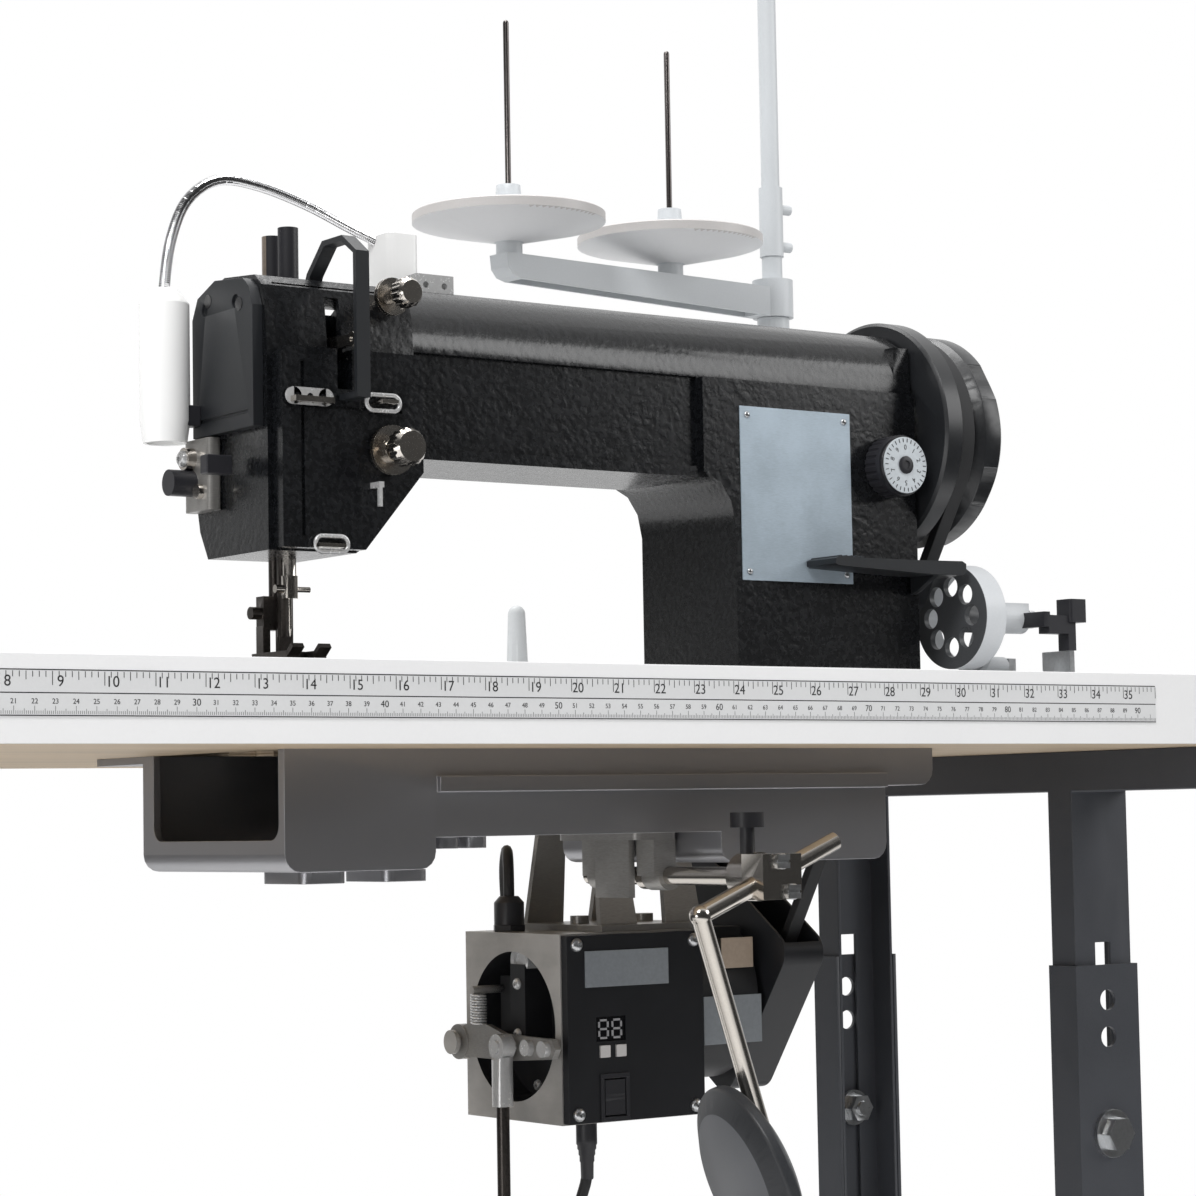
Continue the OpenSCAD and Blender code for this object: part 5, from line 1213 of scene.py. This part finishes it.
class MotorSet:
    """The motor, its bracket and box, its panel, its cable, its guard and its speed lever.

    Attributes say where the black round of the box's side is and how wide, at which heights the belt is cut
    across, and below which x and y the lever is bright.
    """

    eye: tuple[float, float] = (96.0, -204.0)
    eye_radius: float = 46.4
    bends: tuple[float, ...] = (-44, 3, 14, 25, 36, 47, 58, 69, 80)
    lever_tip: tuple[float, float] = (239.6, 100.0)

    def build(self) -> None:
        """Dresses the motor's solids and adds the small parts on them."""
        skin("motor_bracket", Body.TABLE, BRACKET, 0.7)
        skin("motor_body", Body.TABLE, MOTOR, 1.2)
        for name, low, high, finish, slot in (
            ("motor_plate", (356, 41.3, -219), (402, 42.2, -189), LABEL, "motor_paint"),
            ("motor_tag", (371, 41.3, -172), (396, 42.2, -153), LABEL_TAN, "motor_paint"),
            ("box_plate", (263, 37.2, -179), (326, 38.2, -157), LABEL, "panel_plastic"),
        ):
            extra(name, slab(low, high), finish, Body.TABLE, 0.2)
        corners = [row(x, 38, z) for x in (257, 346) for z in (-153, -255)]
        Fasteners(HeadKind.PAN_CROSS, 4.2, ZINC, Body.TABLE, "panel_plastic").set("panel_screws", corners)
        self.box()
        self.display()
        skin("control_panel", Body.TABLE, PANEL, 0.8)
        skin("belt_guard", Body.TABLE, GUARD, 0.8)
        skin("cable_glands", Body.TABLE, BLACK_PLASTIC, 0.4)
        skin("motor_cable", Body.TABLE, CABLE, 0.0, angle=60)
        skin("motor_pulley", Body.MOTOR_PULLEY, STEEL, 0.2)
        lever = skin("speed_lever", Body.SPEED_LEVER, BRACKET, 0.4)
        x, y = self.lever_tip
        coloured(lever, BRIGHT, lambda p: p.x < x and p.y < y)
        skin("rocker_switch", Body.ROCKER, BLACK_PLASTIC, 0.4)
        skin("mode_buttons", Body.BUTTONS, DISC_RIM, 0.4)
        self.spring()
        self.belt()

    def box(self) -> None:
        """Dresses the control box, the black round of its side, the screws in it and the clip over it."""
        box = skin("control_box", Body.TABLE, CAST_BOX, 1.0)
        y, z = self.eye
        coloured(box, MOTOR, lambda p: 250 < p.x < 300 and math.hypot(p.y - y, p.z - z) < self.eye_radius)
        screws = [row(273, 61.5, -210), row(273, 104, -242), row(253, 96, -178), row(253, 96, -209)]
        Fasteners(HeadKind.PAN_CROSS, 3.6, BRIGHT, Body.TABLE, "box_cast", LEFT).set("box_screws", screws)
        rim = [(9.5, -16.5), (9.5, 2.2), (8.6, 3.2), (5.0, 3.2), (4.6, 1.6), (0.0, 1.6)]
        extra("box_clip", turned(rim, row(257, 96, -163.5), LEFT, 40), BRIGHT, Body.TABLE)

    def belt(self) -> None:
        """Dresses the V-belt, cut across at the given heights, in place of the solid that it stands for."""
        bm = merged_copy("v_belt")
        for z in self.bends:
            geometry = bm.verts[:] + bm.edges[:] + bm.faces[:]
            bmesh.ops.bisect_plane(bm, geom=geometry, dist=SLIVER, plane_co=row(0, 0, z), plane_no=(0, 0, 1))
        belt = bevelled(as_object("v_belt_skin", bm, BELT), 0.6)
        row(425, -79, 4)
        row(425, -79, 72)
        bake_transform(belt)
        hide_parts("v_belt")

    def spring(self) -> None:
        """Winds the lever's return spring between the box and the lever."""
        x, y, low, high = 241, 122, -203.4, -184.4
        wound = grown(
            "lever_spring_coil",
            coil_tree(),
            {
                "Turns": 11.0,
                "Radius": 4.6 * MM,
                "Height": (high - low) * MM,
                "Wire": 0.75 * MM,
                "Resolution": 20,
                "Place": tuple(row(x, y, low)),
                "Turn": (0.0, 0.0, 0.0),
                "Material": BRIGHT.build(),
            },
        )
        start, end = row(x, y, high - 0.5), row(x, y, low + 0.5)
        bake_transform(wound)
        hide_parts("lever_spring")

    def display(self) -> None:
        """Adds the panel's dark window, its two unlit digits and the rocker's frame."""
        pane = slab((271.3, 38.9, -211.7), (292.7, 39.8, -197.3))
        extra("display_window", pane, DARK_GLASS_AND_HOLE_SHADE, Body.TABLE, 0.2)
        bars = []
        for x in (272.8, 282.8):
            for z in (-210.6, -205.2, -199.9):
                bars.append(slab((x + 1.4, 38.4, z), (x + 6.4, 39.1, z + 1.3)))
            for side in (0.0, 6.5):
                for z in (-209.0, -203.6):
                    bars.append(slab((x + side, 38.4, z), (x + side + 1.3, 39.1, z + 3.5)))
        extra("display_digits", join(bars), SEGMENT, Body.TABLE)
        sides = [
            slab((x0, 36.9, z0), (x1, 38.4, z1))
            for x0, x1, z0, z1 in (
                (273.2, 294.8, -260.5, -257.6),
                (273.2, 294.8, -234.4, -231.5),
                (273.2, 275.9, -257.7, -234.3),
                (292.1, 294.8, -257.7, -234.3),
            )
        ]
        extra("rocker_frame", join(sides), BLACK_PLASTIC, Body.TABLE, 0.4)


class KneeLifter:
    """The knee lifter's shaft, clamp, bent rod and pad, which looks along a direction from the bend."""

    looks: Point = (-0.926, 0.216, -0.310)
    bend: Point = (152.7, -222.0, -128.1)
    face_mm: float = 0.35

    def build(self) -> None:
        """Dresses the knee lifter's solids."""
        lever = skin("knee_lever", Body.KNEE, NICKEL, 0.5)
        coloured(lever, BLACK_PLASTIC, within((180, -222, -96), (215, -195, -60)))
        pad = skin("knee_pad", Body.KNEE, PAD_RUBBER, 1.5, 3)
        looks, bend = Vector(self.looks), Vector(self.bend)
        top = max(((v.co - row(0, 0, 0)) / MM - bend).dot(looks) for v in pad.data.vertices)
        coloured(pad, PAD_FACE, lambda p: (p - bend).dot(looks) > top - self.face_mm)
        screws = Fasteners(HeadKind.CHEESE_SLOT, 4.2, ZINC, Body.KNEE, "nickel")
        screws.set("clamp_screw", [row(199, -232, -101)])
        screws.set("stop_screw", [row(206, -232, -117)])


class Head:
    """The sewing head: bed, arm, cover and everything fixed on or moving in them.

    Attributes say where the stitch dial's axis meets the column and how far out its numbers stand.
    """

    dial: tuple[float, float] = (374.0, 127.0)
    numbers: float = 10.4

    def build(self) -> None:
        """Dresses the head's solids."""
        skin("bed", Body.HEAD, ENAMEL, 1.2, 3)
        skin("arm_casting", Body.HEAD, ENAMEL, 2.2, 4)
        skin("face_cover", Body.HEAD, COVER, 0.9)
        skin("needle_plate", Body.HEAD, NICKEL, 0.2)
        skin("slide_plate", Body.SLIDE, NICKEL, 0.2)
        skin("rotary_hook", Body.HOOK, STEEL, 0.3)
        skin("feed_dog", Body.FEED, STEEL, 0.1)
        skin("timing_belt", Body.HEAD, BELT, 0.0)
        guides = skin("thread_guides", Body.HEAD, NICKEL, 0.25)
        for finish, low, high in (
            (COVER, (-8.6, -153, 140.5), (0.6, -99, 229)),
            (BRIGHT, (68, -90, 209), (96, -70, 224)),
            (BRIGHT, (8, -145, 85), (14, -133, 100)),
        ):
            coloured(guides, finish, within(low, high))
        self.wires()
        self.side()
        self.column()
        skin("needle_bar", Body.NEEDLE_BAR, NICKEL, 0.2)
        skin("presser_foot", Body.PRESSER, BURNT, 0.3)
        skin("walking_foot", Body.WALKING, BURNT, 0.3)
        skin("foot_lifter", Body.LIFTER, NICKEL, 0.6)
        skin("take_up_lever", Body.TAKE_UP, NICKEL, 0.3)
        skin("stitch_dial", Body.DIAL, BLACK_PLASTIC, 0.3)
        skin("reverse_lever", Body.REVERSE, COVER, 0.8)
        skin("tension_knob_main", Body.TENSION_MAIN, NICKEL, 0.3)
        skin("tension_knob_upper", Body.TENSION_UPPER, NICKEL, 0.3)

    def side(self) -> None:
        """Dresses the presser's fittings and adds the small parts on the head's left end."""
        fittings = skin("presser_fittings", Body.HEAD, NICKEL, 0.4)
        for finish, low, high in (
            (BRONZE, (-16, -66, 203), (2, -38, 241)),
            (BLACK_PLASTIC, (-16, -97, 203), (2, -66.5, 241)),
            (BLACK_PLASTIC, (-68, -66, 94), (-53.3, -48, 110.2)),
            (BRACKET, (-53.3, -78, 87), (-44, -46, 127)),
        ):
            coloured(fittings, finish, within(low, high))
        screw = Fasteners(HeadKind.PAN_CROSS, 4.4, BRIGHT, Body.HEAD, "nickel", LEFT)
        screw.set("side_screw", [row(-58, -57, 116)])
        extra("side_stop", slab((-61, -64, 133), (-50.8, -54, 144)), BLACK_PLASTIC, Body.HEAD, 0.8)
        extra("side_knob", slab((-66, -98, 104), (-51, -90, 114)), BLACK_PLASTIC, Body.HEAD, 0.8)
        # thin near-black discs on the cover: painted shade standing for the dark inside of its two holes
        holes = [disc(3.6, -0.1, 0.25, row(-51, y, z), LEFT, 32) for y, z in ((-72.8, 198), (-106, 192))]
        extra("cover_holes", join(holes), DARK_GLASS_AND_HOLE_SHADE, Body.HEAD)

    def wires(self) -> None:
        """Adds the bright thread eyes on the head's front."""
        middle = slab((-37, -137.6, 137), (-18, -136.2, 146))
        ends = [disc(4.5, -0.2, 1.2, row(x, -136.4, 141.5), FRONT, 32) for x in (-37, -18)]
        foot = slab((-30, -137, 140), (-25, -133.8, 143))
        extra("eye_plate", join([middle, *ends, foot]), BRIGHT, Body.HEAD)
        # thin near-black discs in the eye plate: painted shade standing for its three thread holes
        eyes = [disc(1.7, -0.1, 0.2, row(x, -137.6, 141.5), FRONT, 20) for x in (-35, -27.5, -20)]
        extra("eye_holes", join(eyes), DARK_GLASS_AND_HOLE_SHADE, Body.HEAD)
        loop, wire, steps = 4.2, 1.15, 24
        for name, x, z, half in (("low_eye", -15.0, 66.0, 5.5), ("loop_eye", 17.0, 141.0, 6.0)):
            path = []
            for k in range(steps + 1):
                turn = k / steps * 2 * math.pi
                end = half if math.cos(turn) > 0 else -half
                path.append(row(x + end + loop * math.cos(turn), -136.6, z + loop * math.sin(turn)))
            ring = join([tube(path, wire, 12), slab((x - 2, -137, z + 3.4), (x + 2, -133.8, z + 5.2))])
            extra(name, ring, BRIGHT, Body.HEAD)

    def column(self) -> None:
        """Adds the bare plate on the column, its rivets and the dial's printed face."""
        plate = slab((263, -124.7, 57), (345, -123.8, 157))
        extra("column_plate", plate, PLATE_METAL, Body.HEAD, 0.3)
        corners = [row(x, -124.7, z) for x in (268, 340) for z in (62, 152)]
        Fasteners(HeadKind.RIVET, 2.0, ZINC, Body.HEAD, "dial").set("plate_rivets", corners)
        x, z = self.dial
        face = [(16.6, -0.3), (16.6, 0.1), (16.2, 0.4), (0.0, 0.4)]
        extra("dial_face", turned(face, row(x, -139.8, z), FRONT, 64), DIAL_FACE, Body.DIAL)
        hub = [(5.2, -0.3), (5.2, 0.9), (4.6, 1.2), (2.6, 1.2), (2.3, 0.5), (0.0, 0.5)]
        extra("dial_hub", turned(hub, row(x, -140.2, z), FRONT, 40), BLACK_PLASTIC, Body.DIAL)
        marks = grown(
            "dial_marks",
            ring_tree(),
            {
                "Count": 30,
                "Radius": 14.6 * MM,
                "Place": tuple(row(x, -140.35, z)),
                "Turn": (math.pi / 2, 0.0, 0.0),
                "Bar": (2.2 * MM, 0.4 * MM, 0.2 * MM),
                "Material": INK.build(),
            },
        )
        fitted(marks, Body.DIAL)
        upright = Matrix.Rotation(math.pi / 2, 4, "X")
        for k in range(10):
            turn = math.radians(36 * k)
            at = row(x + self.numbers * math.sin(turn), -140.26, z + self.numbers * math.cos(turn))
            place = Matrix.Translation(at) @ Matrix.Rotation(turn, 4, "Y") @ upright
            fitted(printed(str(k), 4.2, f"dial_number_{k}", place), Body.DIAL)


class WheelAndShaft:
    """The handwheel and the main shaft that it turns."""

    def build(self) -> None:
        """Dresses the wheel's solids."""
        skin("handwheel", Body.WHEEL, WHEEL_ENAMEL, 0.8)
        skin("main_shaft", Body.WHEEL, STEEL, 0.4)


class Lamp:
    """The work lamp on its gooseneck and magnet, which are bright where the shade is white."""

    neck: tuple[Point, ...] = (
        (73, -57, 241), (52, -51, 250), (24, -47, 262), (-6, -45, 270), (-30, -45, 270),
        (-50, -48, 256), (-62, -52, 232), (-67, -54, 206),
    )
    shade_top: float = 206.2
    magnet: tuple[float, float] = (62.5, 247.4)

    def build(self) -> None:
        """Dresses the lamp's solid."""
        lamp = skin("lamp", Body.LAMP, LAMP_WHITE, 0.8)
        x, z = self.magnet
        coloured(lamp, CHROME, lambda p: p.z > self.shade_top and (p.x < x or p.z > z))
        neck = evenly(smooth_path([row(*p) for p in self.neck], 5), 0.55 * MM)
        wave = [2.82 if k % 2 else 3.12 for k in range(len(neck))]
        extra("lamp_neck", tube(neck, 3.0, 20, wave), CHROME, Body.LAMP)


class Winder:
    """The bobbin winder beside the handwheel; its wheel turns about X."""

    axis: tuple[float, float] = (-132.0, 39.0)
    disc_radius: float = 26.5

    def build(self) -> None:
        """Dresses the winder's solids."""
        skin("winder_base", Body.TABLE, ZINC, 0.5)
        arm = skin("winder_arm", Body.WINDER_ARM, WINDER_LIGHT, 0.6)
        coloured(arm, BLACK_PLASTIC, lambda p: p.x > 464.5 and p.y < -139)
        wheel = skin("winder_wheel", Body.WINDER_WHEEL, WINDER_GREY, 0.6)
        y, z = self.axis
        outside = self.disc_radius
        coloured(wheel, WINDER_LIGHT, lambda p: p.x > 418.2 and math.hypot(p.y - y, p.z - z) > outside)
        coloured(wheel, ZINC, lambda p: p.x > 434.5)


class ThreadStand:
    """The thread stand: mast, spool arm and top guide.

    Attributes say where the mast stands, how the arm is turned, how far out the two spool seats are,
    between which heights their discs lie, how wide the hubs and the rims start and where the pins do.
    """

    mast: tuple[float, float] = (500.5, 136.0)
    turn_deg: float = 184.2
    seats: tuple[float, float] = (93.0, 230.0)
    discs: tuple[float, float] = (290.5, 311.0)
    hub: float = 9.6
    rim: float = 60.9
    pins: float = 328.7

    def off_axis(self, p: Vector) -> float:
        """How far a point stands off the nearer spool seat's axis."""
        turn = math.radians(self.turn_deg)
        x, y = p.x - self.mast[0], p.y - self.mast[1]
        return min(math.hypot(x - d * math.cos(turn), y - d * math.sin(turn)) for d in self.seats)

    def build(self) -> None:
        """Dresses the thread stand's solids."""
        skin("thread_mast", Body.TABLE, STAND_GREY, 0.4)
        arm = skin("spool_arm", Body.SPOOL_ARM, STAND_GREY, 0.6)
        for finish, radius in ((DISC_WHITE, self.hub), (DISC_RIM, self.rim)):
            coloured(arm, finish, lambda p: self.discs[0] < p.z < self.discs[1] and self.off_axis(p) > radius)
        coloured(arm, PIN_STEEL, lambda p: p.z > self.pins)
        skin("top_guide_arm", Body.TOP_GUIDE, STAND_GREY, 0.4)


def main() -> None:
    """Builds the camera, the lead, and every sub-assembly and the studio."""
    logging.basicConfig(level=logging.INFO, format="%(message)s")
    CameraView().build()
    MainsLead().build()
    for assembly in (Stand, TableTop, MotorSet, KneeLifter, Head, WheelAndShaft, Lamp, Winder, ThreadStand):
        assembly().build()
        log.info("built %s", assembly.__name__)
    Studio().build()


if __name__ == "__main__":
    main()
